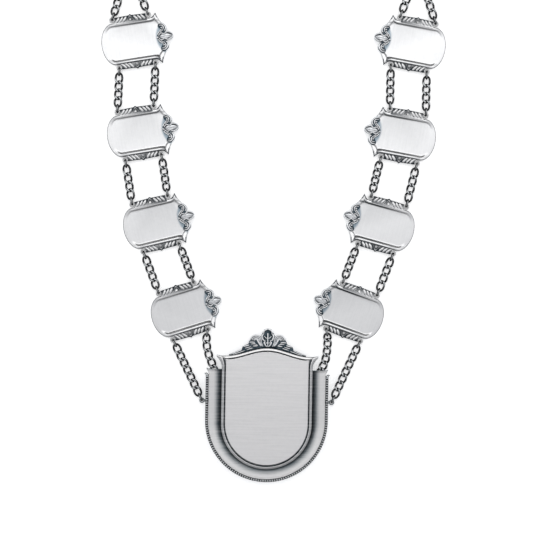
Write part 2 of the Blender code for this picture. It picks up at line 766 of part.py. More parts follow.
def top_crest_outline(foot):
    """The crest's outline: its ornament above, and the shield's ogee shifted by a distance below."""
    half = [(across * TOP_CREST_HALF_WIDTH, FRONT_TOP + up * TOP_CREST_RISE)
            for _, across, up in TOP_CREST_EDGE]
    below = [(share * TOP_CREST_HALF_WIDTH, front_top(share * TOP_CREST_HALF_WIDTH, 0.0) + foot)
             for share in (0.0, 0.25, 0.5, 0.75, 0.97)]
    right = below + half
    return right + [(-x, y) for x, y in reversed(right[1:-1])]


def top_crest_mesh():
    """The cast crest: a foot plate under the shield's top edge, and the ornament beyond the edge."""
    base = FRONT_BASE - SEAT_GAP - TOP_CREST_PLATE
    foot = [Vector((x, y, 0.0)) for x, y in top_crest_outline(-TOP_CREST_SEAT)]
    body = loft([[point + Vector((0.0, 0.0, z)) for point in foot] for z in (base, base + TOP_CREST_PLATE)])
    sunk = base + TOP_CREST_PLATE / 2
    middle = (0.0, FRONT_TOP + TOP_CREST_MIDDLE * TOP_CREST_RISE)
    face = top_crest_outline(TOP_CREST_GAP)
    pieces = [body, cushion_plate(face, middle, sunk, TOP_CREST_RELIEF + sunk - base)]
    for _, across, up, width, height, rise in TOP_CREST_BOSSES:
        pieces.append(knob(across * TOP_CREST_HALF_WIDTH, FRONT_TOP + up * TOP_CREST_RISE,
                           width * TOP_CREST_HALF_WIDTH, height * TOP_CREST_RISE,
                           sunk, 2 * rise * TOP_CREST_RELIEF, TOP_CREST_BOSS_SIDES))
    return smooth(fuse(pieces))


def build():
    for name, place in SHIELD_PLACES.items():
        add_object(f"shield_{name}", shield_mesh(), SILVER, place_at(*place))
        add_object(f"crest_{name}", crest_mesh(), CAST_SILVER, place_at(*place))
    pendant = place_at(*PENDANT_PLACE)
    add_object("pendant_dish", dish_mesh(), SILVER, pendant)
    add_object("pendant_bead_wire", bead_wire_mesh(), CHAIN_SILVER, pendant)
    add_object("pendant_shield", front_shield_mesh(), SILVER, pendant)
    add_object("pendant_crest", top_crest_mesh(), CAST_SILVER, pendant)
    ring = lying_ring(CLASP_RING_WIDTH, CLASP_RING_WIRE)
    add_object("clasp_ring", ring, CHAIN_SILVER, place_at(*CLASP_PLACE, 0.0))
    for side in ("left", "right"):
        build_side(side, pendant)


def shield_eye(name, inner, lower):
    """A small shield's eye in world coordinates: on its inner or outer side, above or below."""
    x = EYE_SPACING / 2 if inner else -EYE_SPACING / 2
    y = SHIELD_HALF_WIDTH + EYE_OFFSET
    on_left = name.startswith("left")
    if lower == on_left:
        y = -y
    return place_at(*SHIELD_PLACES[name]) @ Vector((x, y, 0.0))


def build_side(side, pendant):
    """The strands, the joining ring and the neck chain of one side."""
    eye_margin = EYE_WIDTH / 2 + TUBE_END_GAP
    for word, inner in (("outer", False), ("inner", True)):
        for number in (2, 3):
            mesh = chain_mesh(shield_eye(f"{side}_{number}", inner, True),
                              shield_eye(f"{side}_{number + 1}", inner, False))
            add_object(f"strand_{side}_{number}_{word}", mesh, CHAIN_SILVER)
        mesh = strand_tube(shield_eye(f"{side}_1", inner, True), shield_eye(f"{side}_2", inner, False),
                           eye_margin, eye_margin)
        add_object(f"strand_{side}_1_{word}", mesh, CHAIN_SILVER)

    across = SIDE_EYE_REACH if side == "right" else -SIDE_EYE_REACH
    side_eye = pendant @ Vector((across, SIDE_EYE_HEIGHT, 0.0))
    mesh = chain_mesh(shield_eye(f"{side}_4", False, True), side_eye)
    add_object(f"strand_{side}_4_outer", mesh, CHAIN_SILVER)

    slack = [pendant @ Vector((x * MM, y * MM, 0.0)) for x, y in SLACK_ROUTES[side]]
    hook_x, hook_y, _ = REAR_LOOP_PLACES[side]
    mesh = strand_tube(shield_eye(f"{side}_4", True, True), pendant @ Vector((hook_x, hook_y, 0.0)),
                       eye_margin, REAR_LOOP_WIRE / 2 + SEAT_GAP, slack)
    add_object(f"strand_{side}_4_inner", mesh, CHAIN_SILVER)

    joining = Vector((*JOINING_PLACES[side], 0.0))
    ring_margin = JOINING_RING_WIDTH / 2 + TUBE_END_GAP
    for word, inner in (("outer", False), ("inner", True)):
        mesh = strand_tube(shield_eye(f"{side}_1", inner, False), joining, eye_margin, ring_margin)
        add_object(f"strand_{side}_0_{word}", mesh, CHAIN_SILVER)
    ring = lying_ring(JOINING_RING_WIDTH, JOINING_RING_WIRE)
    add_object(f"joining_ring_{side}", ring, CHAIN_SILVER, place_at(*JOINING_PLACES[side], 0.0))
    route = [Vector((x * MM, y * MM, 0.0)) for x, y in NECK_ROUTES[side]]
    mesh = strand_tube(joining, Vector((*CLASP_PLACE, 0.0)), ring_margin,
                       CLASP_RING_WIDTH / 2 + TUBE_END_GAP, route)
    add_object(f"neck_chain_{side}", mesh, CHAIN_SILVER)


build()
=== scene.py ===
# Shooting guild chain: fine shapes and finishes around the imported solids.
import math

import bmesh
import bpy
from mathutils import Matrix, Vector


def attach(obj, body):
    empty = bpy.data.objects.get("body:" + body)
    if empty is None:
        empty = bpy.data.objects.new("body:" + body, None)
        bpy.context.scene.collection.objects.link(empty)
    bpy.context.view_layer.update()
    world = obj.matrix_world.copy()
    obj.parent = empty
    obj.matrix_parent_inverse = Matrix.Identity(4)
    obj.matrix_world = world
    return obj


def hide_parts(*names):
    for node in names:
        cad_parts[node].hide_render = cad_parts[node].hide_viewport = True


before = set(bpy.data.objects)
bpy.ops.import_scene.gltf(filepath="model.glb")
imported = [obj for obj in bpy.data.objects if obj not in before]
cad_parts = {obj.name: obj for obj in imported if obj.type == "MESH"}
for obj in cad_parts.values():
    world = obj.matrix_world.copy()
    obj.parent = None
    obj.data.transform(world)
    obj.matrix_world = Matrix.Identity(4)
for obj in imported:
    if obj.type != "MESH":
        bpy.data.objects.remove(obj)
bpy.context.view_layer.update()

mm = 0.001
up = Vector((0.0, 0.0, 1.0))


# Camera and light: the chain lies on a pale table and is seen from straight above

view = {
    "photoWidth": 533,        # pixels
    "scale": 0.70 * mm,       # metres for each pixel
    "middle": Vector((-4.9, -71.9, 0.0)) * mm,
    "focusHeight": 4.0 * mm,  # where the scale holds
    "lens": 110.0,
    "sensor": 36.0,
    "clipEnd": 20.0,
}

lights = {   # place, size, power
    "overhead": ((0.0, 0.85, 1.60), 1.7, 9.05),
    "left": ((-1.3, 0.3, 0.7), 0.8, 2.6),
    "right": ((1.3, 0.3, 0.7), 0.8, 2.6),
}

room = {
    # brightness of the walls from the pendant's end of the room to the neck's end
    "walls": [(0.0, 0.48), (0.12, 0.54), (0.30, 0.60), (0.45, 0.64), (0.75, 0.66), (0.86, 0.10),
              (1.0, 0.03)],
    "floorShare": 0.70,       # how bright they are at the horizon against the top
    "whole": 0.7,             # height where they are as bright as the top
    "tint": (0.96, 0.97, 1.0, 1.0),
}


def addCamera():
    width = view["photoWidth"] * view["scale"]
    distance = width * view["lens"] / view["sensor"]
    data = bpy.data.cameras.new("camera")
    data.lens = view["lens"]
    data.sensor_width = view["sensor"]
    data.clip_end = view["clipEnd"]
    camera = bpy.data.objects.new("camera", data)
    camera.location = view["middle"] + up * (distance + view["focusHeight"])
    bpy.context.scene.collection.objects.link(camera)
    bpy.context.scene.camera = camera


def addLights():
    for name, (place, size, power) in lights.items():
        data = bpy.data.lights.new(name, "AREA")
        data.size = size
        data.energy = power
        lamp = bpy.data.objects.new(name, data)
        lamp.location = place
        lamp.rotation_euler = (view["middle"] - Vector(place)).to_track_quat("-Z", "Y").to_euler()
        bpy.context.scene.collection.objects.link(lamp)
    world = bpy.data.worlds.new("studio")
    world.use_nodes = True
    tree = world.node_tree
    coordinates = addNode(tree, "ShaderNodeTexCoord")
    split = addNode(tree, "ShaderNodeSeparateXYZ")
    tree.links.new(coordinates.outputs["Generated"], split.inputs[0])
    along = addNode(tree, "ShaderNodeMapRange")
    along.inputs["From Min"].default_value = -1.0
    tree.links.new(split.outputs["Y"], along.inputs["Value"])
    walls = addNode(tree, "ShaderNodeValToRGB")
    stops = walls.color_ramp.elements
    while len(stops) < len(room["walls"]):
        stops.new(0.5)
    for stop, (place, level) in zip(stops, room["walls"]):
        stop.position = place
        stop.color = (level, level, level, 1.0)
    tree.links.new(along.outputs["Result"], walls.inputs["Fac"])
    height = addNode(tree, "ShaderNodeMapRange")
    height.inputs["From Max"].default_value = room["whole"]
    height.inputs["To Min"].default_value = room["floorShare"]
    tree.links.new(split.outputs["Z"], height.inputs["Value"])
    strength = addNode(tree, "ShaderNodeMath", operation="MULTIPLY")
    tree.links.new(walls.outputs["Color"], strength.inputs[0])
    tree.links.new(height.outputs["Result"], strength.inputs[1])
    background = tree.nodes["Background"]
    background.inputs["Color"].default_value = room["tint"]
    tree.links.new(strength.outputs[0], background.inputs["Strength"])
    bpy.context.scene.world = world
    bpy.context.scene.view_settings.view_transform = "Standard"


# Materials

def newMaterial(name):
    material = bpy.data.materials.new(name)
    material.use_nodes = True
    tree = material.node_tree
    return material, tree, tree.nodes["Principled BSDF"]


def addNode(tree, kind, **values):
    node = tree.nodes.new(kind)
    for key, value in values.items():
        if key in node.inputs:
            node.inputs[key].default_value = value
        else:
            setattr(node, key, value)
    return node


# each finish's dark colour stands for tarnish and for painted shade alike
finishes = {
    "shieldSilver": {
        "slot": "brushed_silver", "bright": (0.81, 0.81, 0.81, 1.0), "tarnishAndShade": (0.035, 0.044, 0.052, 1.0),
        "grazing": (0.50, 0.50, 0.50, 1.0), "roughness": 0.33, "tarnishRoughness": 0.50, "blotch": 0.05,
        "lines": 0.10, "streaks": 0.0, "grain": 0.08,
        # the stain round the crest's foot, at full depth within a share of its reach
        "patina": {"middle": (22.6, 0.8), "reach": (7.6, 11.8), "full": 0.76, "depth": 0.92,
                   "colour": (0.27, 0.34, 0.39, 1.0)},
    },
    "dishSilver": {
        "slot": "brushed_silver", "bright": (0.86, 0.855, 0.85, 1.0), "tarnishAndShade": (0.175, 0.210, 0.230, 1.0),
        "grazing": (0.80, 0.80, 0.80, 1.0), "roughness": 0.62, "tarnishRoughness": 0.50, "blotch": 0.04,
        "lines": 0.10, "streaks": 0.50, "grain": 0.12,
    },
    "brushedSilver": {
        "slot": "brushed_silver", "bright": (0.86, 0.85, 0.845, 1.0), "tarnishAndShade": (0.060, 0.078, 0.090, 1.0),
        "grazing": (0.75, 0.75, 0.75, 1.0), "roughness": 0.36, "tarnishRoughness": 0.50, "blotch": 0.05,
        "lines": 0.14, "streaks": 0.90, "grain": 0.14,
    },
    "castSilver": {
        "slot": "cast_silver", "bright": (0.86, 0.87, 0.88, 1.0), "tarnishAndShade": (0.043, 0.066, 0.084, 1.0),
        "grazing": (0.30, 0.32, 0.34, 1.0), "roughness": 0.28, "tarnishRoughness": 0.48, "blotch": 0.18,
        "lines": 0.0, "streaks": 0.0, "grain": 0.0,
    },
    "chainSilver": {
        "slot": "chain_silver", "bright": (0.66, 0.68, 0.69, 1.0), "tarnishAndShade": (0.030, 0.031, 0.032, 1.0),
        "grazing": (0.12, 0.13, 0.14, 1.0), "roughness": 0.30, "tarnishRoughness": 0.42, "blotch": 0.16,
        "lines": 0.0, "streaks": 0.0, "grain": 0.0,
    },
}

pattern = {
    "fineLines": (9.0, 0.22),       # lines per millimetre, across the brush strokes and along them
    "broadLines": (0.85, 0.025),
    "grainSpread": (-0.8, 1.2),     # shares of a finish's grain by which the broad lines move its tarnish
    "clouds": 420.0,                # blotches per metre
    "bump": 0.1 * mm,
}


def multiply(tree, first, second):
    node = addNode(tree, "ShaderNodeMath", operation="MULTIPLY")
    tree.links.new(first, node.inputs[0])
    tree.links.new(second, node.inputs[1])
    return node.outputs[0]


def add(tree, first, second):
    node = addNode(tree, "ShaderNodeMath", operation="ADD", use_clamp=True)
    tree.links.new(first, node.inputs[0])
    tree.links.new(second, node.inputs[1])
    return node.outputs[0]


def spread(tree, source, low, high):      # a value from 0 to 1 spread from low to high
    node = addNode(tree, "ShaderNodeMapRange")
    node.inputs["To Min"].default_value = low
    node.inputs["To Max"].default_value = high
    tree.links.new(source, node.inputs["Value"])
    return node.outputs["Result"]


def patinaRound(tree, coordinates, patina):      # a soft oval stain
    place = addNode(tree, "ShaderNodeMapping")
    shift = [-at / reach for at, reach in zip(patina["middle"], patina["reach"])]
    place.inputs["Location"].default_value = (*shift, 0.0)
    place.inputs["Scale"].default_value = (*[1 / reach for reach in patina["reach"]], 0.0)
    tree.links.new(coordinates.outputs["UV"], place.inputs["Vector"])
    far = addNode(tree, "ShaderNodeVectorMath", operation="LENGTH")
    tree.links.new(place.outputs["Vector"], far.inputs[0])
    stain = addNode(tree, "ShaderNodeMapRange", interpolation_type="SMOOTHSTEP")
    stain.inputs["From Min"].default_value = 1.0
    stain.inputs["From Max"].default_value = patina["full"]
    stain.inputs["To Max"].default_value = patina["depth"]
    tree.links.new(far.outputs["Value"], stain.inputs["Value"])
    return stain.outputs["Result"]


# noise drawn out along the brush strokes, with so many lines per millimetre across and along them
def brushLines(tree, coordinates, across, along):
    stretch = addNode(tree, "ShaderNodeMapping")
    stretch.inputs["Scale"].default_value = (across, along, 1.0)
    tree.links.new(coordinates.outputs["UV"], stretch.inputs["Vector"])
    lines = addNode(tree, "ShaderNodeTexNoise", Scale=1.0, Detail=3.0, Roughness=0.7)
    tree.links.new(stretch.outputs["Vector"], lines.inputs["Vector"])
    return lines.outputs["Fac"]


# silver whose tarnish and painted shade follow the piece's own attribute, with brush lines along its plan
def metal(name):
    finish = finishes[name]
    material, tree, shader = newMaterial(name)
    links = tree.links
    coordinates = addNode(tree, "ShaderNodeTexCoord")

    # the attribute holds each point's tarnish together with the shade painted onto it
    tarnishAndShade = addNode(tree, "ShaderNodeAttribute", attribute_name="tarnishAndShade")
    level = tarnishAndShade.outputs["Fac"]
    if finish["grain"]:
        broad = brushLines(tree, coordinates, *pattern["broadLines"])
        level = multiply(tree, level, spread(tree, broad, 1 - finish["streaks"], 1 + finish["streaks"]))
        low, high = [share * finish["grain"] for share in pattern["grainSpread"]]
        level = add(tree, level, spread(tree, broad, low, high))
    cloud = addNode(tree, "ShaderNodeTexNoise", Scale=pattern["clouds"], Detail=4.0, Roughness=0.6)
    links.new(coordinates.outputs["Object"], cloud.inputs["Vector"])
    level = add(tree, level, spread(tree, cloud.outputs["Fac"], -finish["blotch"], finish["blotch"]))

    colour = addNode(tree, "ShaderNodeMix", data_type="RGBA")     # colours go in at 6 and 7, out at 2
    colour.inputs[6].default_value = finish["bright"]
    colour.inputs[7].default_value = finish["tarnishAndShade"]
    links.new(level, colour.inputs[0])
    if "patina" in finish:
        clean, colour = colour, addNode(tree, "ShaderNodeMix", data_type="RGBA")
        links.new(patinaRound(tree, coordinates, finish["patina"]), colour.inputs[0])
        links.new(clean.outputs[2], colour.inputs[6])
        colour.inputs[7].default_value = finish["patina"]["colour"]
    links.new(colour.outputs[2], shader.inputs["Base Color"])
    roughness = spread(tree, level, finish["roughness"], finish["tarnishRoughness"])
    links.new(roughness, shader.inputs["Roughness"])
    shader.inputs["Metallic"].default_value = 1.0
    shader.inputs["Specular Tint"].default_value = finish["grazing"]
    if finish["lines"]:
        bump = addNode(tree, "ShaderNodeBump", Strength=finish["lines"], Distance=pattern["bump"])
        links.new(brushLines(tree, coordinates, *pattern["fineLines"]), bump.inputs["Height"])
        links.new(bump.outputs["Normal"], shader.inputs["Normal"])
    return material


# Mesh helpers

# turn the faces round these points outwards
def outward(bm, verts):
    faces = list({face for vert in verts for face in vert.link_faces})
    bmesh.ops.recalc_face_normals(bm, faces=faces)


# extrude an edge loop from ring to ring; returns its first and last edges and all points
def skinRings(bm, rings, closed=True):
    verts = [bm.verts.new(point) for point in rings[0]]
    allVerts = list(verts)
    pairs = list(zip(verts, verts[1:] + verts[:1])) if closed else list(zip(verts, verts[1:]))
    edges = [bm.edges.new(pair) for pair in pairs]
    firstEdges = edges
    for ring in rings[1:]:
        made = bmesh.ops.extrude_edge_only(bm, edges=edges)["geom"]
        newVerts = [item for item in made if isinstance(item, bmesh.types.BMVert)]
        order = {vert: index for index, vert in enumerate(verts)}
        following = [None] * len(verts)
        for vert in newVerts:
            for edge in vert.link_edges:
                index = order.get(edge.other_vert(vert))
                if index is not None:
                    following[index] = vert
        for vert, point in zip(following, ring):
            vert.co = point
        edges = [item for item in made if isinstance(item, bmesh.types.BMEdge)
                 and item.verts[0] not in order and item.verts[1] not in order]
        verts = following
        allVerts += verts
    return firstEdges, edges, allVerts


# a closed body over rings, with a cap on the first and the last
def closedSkin(bm, rings):
    first, last, verts = skinRings(bm, rings)
    for edges in (first, last):
        bmesh.ops.contextual_create(bm, geom=edges)
    outward(bm, verts)


# more rows on a smooth curve through a short table of rows of numbers
def smoothRow(rows, steps):
    guide = [rows[0], *rows, rows[-1]]
    result = []
    for before, here, there, after in zip(guide, guide[1:], guide[2:], guide[3:]):
        for step in range(steps):
            t = step / steps
            result.append(tuple(
                0.5 * (2 * b + (c - a) * t + (2 * a - 5 * b + 4 * c - d) * t * t
                       + (3 * b - a - 3 * c + d) * t ** 3)
                for a, b, c, d in zip(before, here, there, after)))
    result.append(tuple(rows[-1]))
    return result


# a round bar through points, with its own radius at each, closed at both ends
def tube(bm, points, radii, sides=8, flat=1.0):
    points = [Vector(point) for point in points]
    rings = []
    for index, point in enumerate(points):
        ahead = points[min(index + 1, len(points) - 1)] - points[max(index - 1, 0)]
        along = ahead.normalized()
        side = along.cross(up)
        side = side.normalized() if side.length > 1e-6 else Vector((1.0, 0.0, 0.0))
        over = side.cross(along)
        ring = []
        for step in range(sides):
            angle = math.tau * step / sides
            spoke = side * math.cos(angle) + over * math.sin(angle) * flat
            ring.append(point + spoke * radii[index])
        rings.append(ring)
    closedSkin(bm, rings)


# a rounded boss, turned about the vertical
def blob(bm, place, size, turn=0.0):
    made = bmesh.ops.create_uvsphere(bm, u_segments=12, v_segments=8, radius=0.5)["verts"]
    bmesh.ops.scale(bm, vec=size, verts=made)
    bmesh.ops.rotate(bm, cent=(0, 0, 0), matrix=Matrix.Rotation(turn, 3, "Z"), verts=made)
    bmesh.ops.translate(bm, vec=place, verts=made)


# a leaf of a length, width and height with a sunk midrib, pointed at its far end, growing along x
def petal(bm, place, size, groove):
    length, width, height = size
    full = 0.72          # the taper's value over the near half
    made = bmesh.ops.create_uvsphere(bm, u_segments=16, v_segments=8, radius=0.5)["verts"]
    for vert in made:
        along = vert.co.x + 0.5
        taper = math.sqrt(max(0.0, 1 - along)) if along > 0.5 else full
        side = vert.co.y * taper / full
        sink = groove * max(0.0, 1 - abs(side) * 6) if vert.co.z > 0 else 0.0
        vert.co = Vector((along * length, side * width, vert.co.z * height * (1 - sink)))
    bmesh.ops.translate(bm, vec=place, verts=made)


# a ring of round wire, level at the origin, spun from a circle
def torus(bm, radius, wire, steps, sides):
    circle = bmesh.ops.create_circle(bm, segments=sides, radius=wire / 2)["verts"]
    bmesh.ops.rotate(bm, cent=(0, 0, 0), matrix=Matrix.Rotation(math.pi / 2, 3, "X"), verts=circle)
    bmesh.ops.translate(bm, vec=(radius, 0, 0), verts=circle)
    edges = list({edge for vert in circle for edge in vert.link_edges})
    before = set(bm.verts) - set(circle)
    bmesh.ops.spin(bm, geom=circle + edges, cent=(0, 0, 0), axis=(0, 0, 1), angle=math.tau,
                   steps=steps, use_merge=True)
    made = [vert for vert in bm.verts if vert not in before]
    outward(bm, made)
    return made


# finish a mesh in its own frame, then put it in its place, on the chain's one body
def addPiece(name, bm, place, finish, nodes, shade, tarnishAndShade, brush="across"):
    bm.normal_update()
    mesh = bpy.data.meshes.new(name)
    layer = bm.loops.layers.uv.new("plan")
    for face in bm.faces:
        for loop in face.loops:
            x, y, z = loop.vert.co
            loop[layer].uv = (x, y + z) if brush == "across" else (y, x + z)
    # each point's tarnish and painted shade, worked out in the piece's own frame
    levels = [tarnishAndShade(vert.co, vert.normal) for vert in bm.verts]
    bm.to_mesh(mesh)
    bm.free()
    attribute = mesh.attributes.new("tarnishAndShade", "FLOAT", "POINT")
    attribute.data.foreach_set("value", levels)
    mesh.transform(place)
    mesh.shade_smooth()
    mesh.set_sharp_from_angle(angle=math.radians(shade))
    mesh.materials.append(materials[finish])
    piece = bpy.data.objects.new(name, mesh)
    bpy.context.scene.collection.objects.link(piece)
    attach(piece, "root")
    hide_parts(*nodes)


def clamp(value):
    return max(0.0, min(1.0, value))


# 0 below low, 1 above high, smooth between
def blend(low, high, value):
    share = clamp((value - low) / (high - low))
    return share * share * (3 - 2 * share)


# 1 below low, 0 above high, smooth between
def fade(low, high, value):
    return 1 - blend(low, high, value)


# a piece's place in metres; the piece itself is modelled in millimetres
def placeAt(x, y, turn):
    place = Matrix.Translation((x * mm, y * mm, 0.0)) @ Matrix.Rotation(math.radians(turn), 4, "Z")
    return place @ Matrix.Scale(mm, 4)


# the darkest level: tarnish in the deepest recesses, also used for painted shade on the front shield's steep
# faces and for the chain's dark wire
fullDark = 0.97          # tarnish in the deepest recesses, out of a polishing cloth's reach
eyeLevel = 2.937       # height of the middle of every eye and plain ring
eyeSteps = (28, 10)    # segments round a cast eye and round its wire


# Small shields

tray = {
    "halfWidth": 14.7, "endLength": 9.2, "endStart": -13.8, "flareStart": 13.2,
    "horn": (17.85, 18.2), "corner": (21.4, 9.9), "innerEnd": 22.2,
    "sheet": 0.9, "rollWidth": 2.9, "rollHeight": 2.9,
    # how high the edge is rolled: round end, start of the long edge, horn and inner edge
    "endShare": 0.80, "startShare": 0.77, "hornShare": 0.55, "innerShare": 0.30,
    # how the roll's foot is drawn in and its height taken down on the side towards the neck
    "slimFrom": 1.35, "slimShare": 0.62, "slimFall": 0.50, "slimRows": (5.0, 12.0),
    "hornInset": (0.50, 2.00), "cornerInset": (0.77, 0.29),
    # how far in from the edge, as a share of the roll; the plain sheet; the roll's rise
    "section": [(1.50, 1.00, 0.00), (1.26, 1.00, 0.01), (1.14, 1.00, 0.05), (1.05, 1.00, 0.18),
                (0.97, 1.00, 0.40), (0.88, 1.00, 0.64), (0.79, 1.00, 0.82), (0.69, 1.00, 0.92),
                (0.55, 0.99, 0.975), (0.41, 0.98, 1.00), (0.24, 0.97, 0.98), (0.12, 0.94, 0.93),
                (0.04, 0.80, 0.86), (0.00, 0.60, 0.70), (0.05, 0.30, 0.35), (0.40, 0.00, 0.00)],
    "sectionSteps": 2,
    # painted shadow along the rolls' feet: how dark it is on the left shields, and on the right ones from the
    # top down
    "footShadowLines": {"left": 0.50, "right_1": 0.50, "right_2": 0.70, "right_3": 0.85, "right_4": 0.95},
}


# half of the tray's outline, inset: x along, y across, and how far it is rolled
def trayHalfOutline(inset):
    halfWidth = tray["halfWidth"] - inset
    hornX, hornY = [at - inset * share for at, share in zip(tray["horn"], tray["hornInset"])]
    cornerX, cornerY = [at - inset * share for at, share in zip(tray["corner"], tray["cornerInset"])]
    points = []
    for step in range(17):
        angle = math.pi - math.pi / 2 * step / 16
        x = tray["endStart"] + (tray["endLength"] - inset) * math.cos(angle)
        rolled = tray["endShare"] * blend(0.45, 1.15, step / 16)
        points.append((x, halfWidth * math.sin(angle), rolled))
    start = tray["endStart"]
    for step in range(1, 8):
        x = start + (tray["flareStart"] - start) * step / 8
        rolled = tray["startShare"] + (1 - tray["startShare"]) * blend(0.0, 0.3, step / 8)
        points.append((x, halfWidth, rolled))
    for step in range(9):
        share = step / 8
        x = tray["flareStart"] + (hornX - tray["flareStart"]) * share
        rolled = 1 + (tray["hornShare"] - 1) * share
        points.append((x, halfWidth + (hornY - halfWidth) * share ** 2, rolled))
    for step in range(1, 9):
        share = step / 8
        rolled = tray["hornShare"] + (tray["innerShare"] - tray["hornShare"]) * share
        x = hornX + (cornerX - hornX) * share ** 1.5
        points.append((x, hornY + (cornerY - hornY) * share, rolled))
    for step in range(1, 6):
        share = step / 5
        x = cornerX + (tray["innerEnd"] - inset - cornerX) * share ** 0.5
        points.append((x, cornerY * (1 - share), tray["innerShare"]))
    return points


# upper is 1 or -1, the long side that lies towards the neck
def buildTray(bm, upper):
    rings = []
    for share, plain, rise in smoothRow(tray["section"], tray["sectionSteps"]):
        inset = share * tray["rollWidth"]
        slim = min(inset, tray["slimFrom"] + (inset - tray["slimFrom"]) * tray["slimShare"])
        half = trayHalfOutline(inset)
        drawn = []
        for wide, narrow in zip(half, trayHalfOutline(slim)):
            much = blend(*tray["slimRows"], wide[1])
            point = [a + (b - a) * much for a, b in zip(wide, narrow)]
            drawn.append((point[0], point[1], point[2] * (1 - tray["slimFall"] * much)))
        above, below = (drawn, half) if upper > 0 else (half, drawn)
        whole = above + [(x, -y, rolled) for x, y, rolled in reversed(below[1:-1])]
        rings.append([Vector((x, y, plain * tray["sheet"] + rise * rolled * tray["rollHeight"]))
                      for x, y, rolled in whole])
    closedSkin(bm, rings)


bar = {
    "inner": 13.9, "outer": 18.3, "low": 2.25, "high": 3.1, "peak": 1.1, "peakHalfWidth": 1.5,
    "eyeX": 12.8, "eyeY": 16.9, "eyeRadius": 1.45, "eyeWire": 1.05, "eyeReach": 2.3,
    # the plate's end beside the eye: how far from the eye's middle, and in from the outer edge
    "end": [(2.4, 0.0), (1.5, 0.4)], "endFoot": 1.2,
    "chamferLow": 0.25, "chamferHigh": 0.30,
    # slanted leaves: middle of each from the peak, half width, rise
    "leaves": [(4.0, 1.00, 0.85), (6.5, 0.82, 0.60), (9.0, 0.98, 0.80)],
    "leafInner": 14.5, "leafOuter": 18.0, "leafLean": 1.3,
    "leafWidths": (0.55, 0.92, 1.0, 1.0, 0.92, 0.45),
    "veeHalfWidth": 2.5, "veeFoot": 14.8, "veeMiddle": 16.6, "veeTip": 18.3, "veeRadius": 0.34,
    # the fine line along the outer edge: from the peak to near the eye
    "edgeStart": (0.9, 0.05), "edgeEnd": (2.6, -0.30), "edgeDrop": 0.1, "edgeRadius": 0.22,
    # the drop inside the vee: place along it and radius
    "jewel": [(14.9, 1.45), (15.9, 0.98), (17.0, 0.14)], "jewelFlat": 0.5,
}


# an ornamented bar along one long edge: plate, eyes, slanted leaves and a vee that ends in a peak
def buildBar(bm, side):
    eyeX, eyeY = bar["eyeX"], bar["eyeY"]
    outer, low, high = bar["outer"], bar["low"], bar["high"]
    chamferLow, chamferHigh = bar["chamferLow"], bar["chamferHigh"]
    half = [(0.0, outer + bar["peak"]), (bar["peakHalfWidth"], outer)]
    half += [(eyeX - away, outer - drop) for away, drop in bar["end"]]
    half.append((eyeX - bar["endFoot"], bar["inner"]))
    outline = half + [(-x, y) for x, y in reversed(half[1:])]
    levels = ((chamferLow, low), (0.0, low + chamferLow), (0.0, high - chamferHigh), (chamferHigh, high))
    rings = []
    for inset, z in levels:
        ring = []
        for x, y in outline:
            reach = max(1.0, abs(x))
            ring.append(Vector((x * (1 - inset / reach), (y - inset) * side, z)))
        rings.append(ring)
    closedSkin(bm, rings)
    for hand in (-1, 1):
        for middle, halfWidth, rise in bar["leaves"]:
            route = []
            for step in range(6):
                share = step / 5
                x = middle + bar["leafLean"] * (1 - 2 * share)
                y = bar["leafInner"] + (bar["leafOuter"] - bar["leafInner"]) * share
                route.append((hand * x, y * side, high))
            tube(bm, route, [halfWidth * width for width in bar["leafWidths"]], 10, rise / halfWidth)
        vee = ((bar["veeHalfWidth"], bar["veeFoot"]), (bar["veeHalfWidth"] / 2, bar["veeMiddle"]),
               (0.0, bar["veeTip"]))
        tube(bm, [(hand * x, y * side, high) for x, y in vee], [bar["veeRadius"]] * 3)
        (startX, startY), (endX, endY) = bar["edgeStart"], bar["edgeEnd"]
        edge = ((startX, outer + startY), (eyeX - endX, outer + endY))
        tube(bm, [(hand * x, y * side, high - bar["edgeDrop"]) for x, y in edge], [bar["edgeRadius"]] * 2)
        made = torus(bm, bar["eyeRadius"], bar["eyeWire"], *eyeSteps)
        bmesh.ops.translate(bm, vec=(hand * eyeX, eyeY * side, eyeLevel), verts=made)
    jewel = [(0.0, y * side, high) for y, _ in bar["jewel"]]
    tube(bm, jewel, [radius for _, radius in bar["jewel"]], 8, bar["jewelFlat"])


# painted shade on the small shields' rolls, round ends and roll feet, and tarnish on their bars and eyes
shieldTarnishAndShade = {
    "footShade": 0.22, "lowerFoot": 0.80, "endRim": 0.65, "vee": 0.80,     # how dark each is at most
    # painted shade on the roll's outer side, wider on the lower half, which faces away from the light
    "edge": 0.92, "lowerWider": 0.45,      # the roll's outer side, and how much wider it is on the lower half
    # in from the edge: where the outer side ends, and where the painted shade and the painted shadow line of
    # the foot rise and fall
    "rollSide": 1.6, "shadeRise": (1.4, 2.0), "shadeFall": (2.0, 5.6), "lineRise": (1.5, 1.9),
    "lineFall": (2.6, 3.15),
    # along the shield, from the round end to the inner edge: where each of them starts and is full
    "straight": (-19.0, -11.0), "edgeFrom": (-21.0, -13.0),
    "lineFrom": (-17.0, 6.0), "lowerFrom": (-18.0, 3.0),
    "barEnd": 2.6,                   # how far the bar's own tarnish goes past the eye's middle
    "barHeights": (0.10, 0.34),      # above the bar's plate: where it is dark and where it is bright
    "eyeHeights": (3.24, 3.44),
    # how the vee runs across the bar, and how far its dark line is from the middle at its foot
    "veeSlope": 0.68, "veeLine": (1.9, 3.1),
}
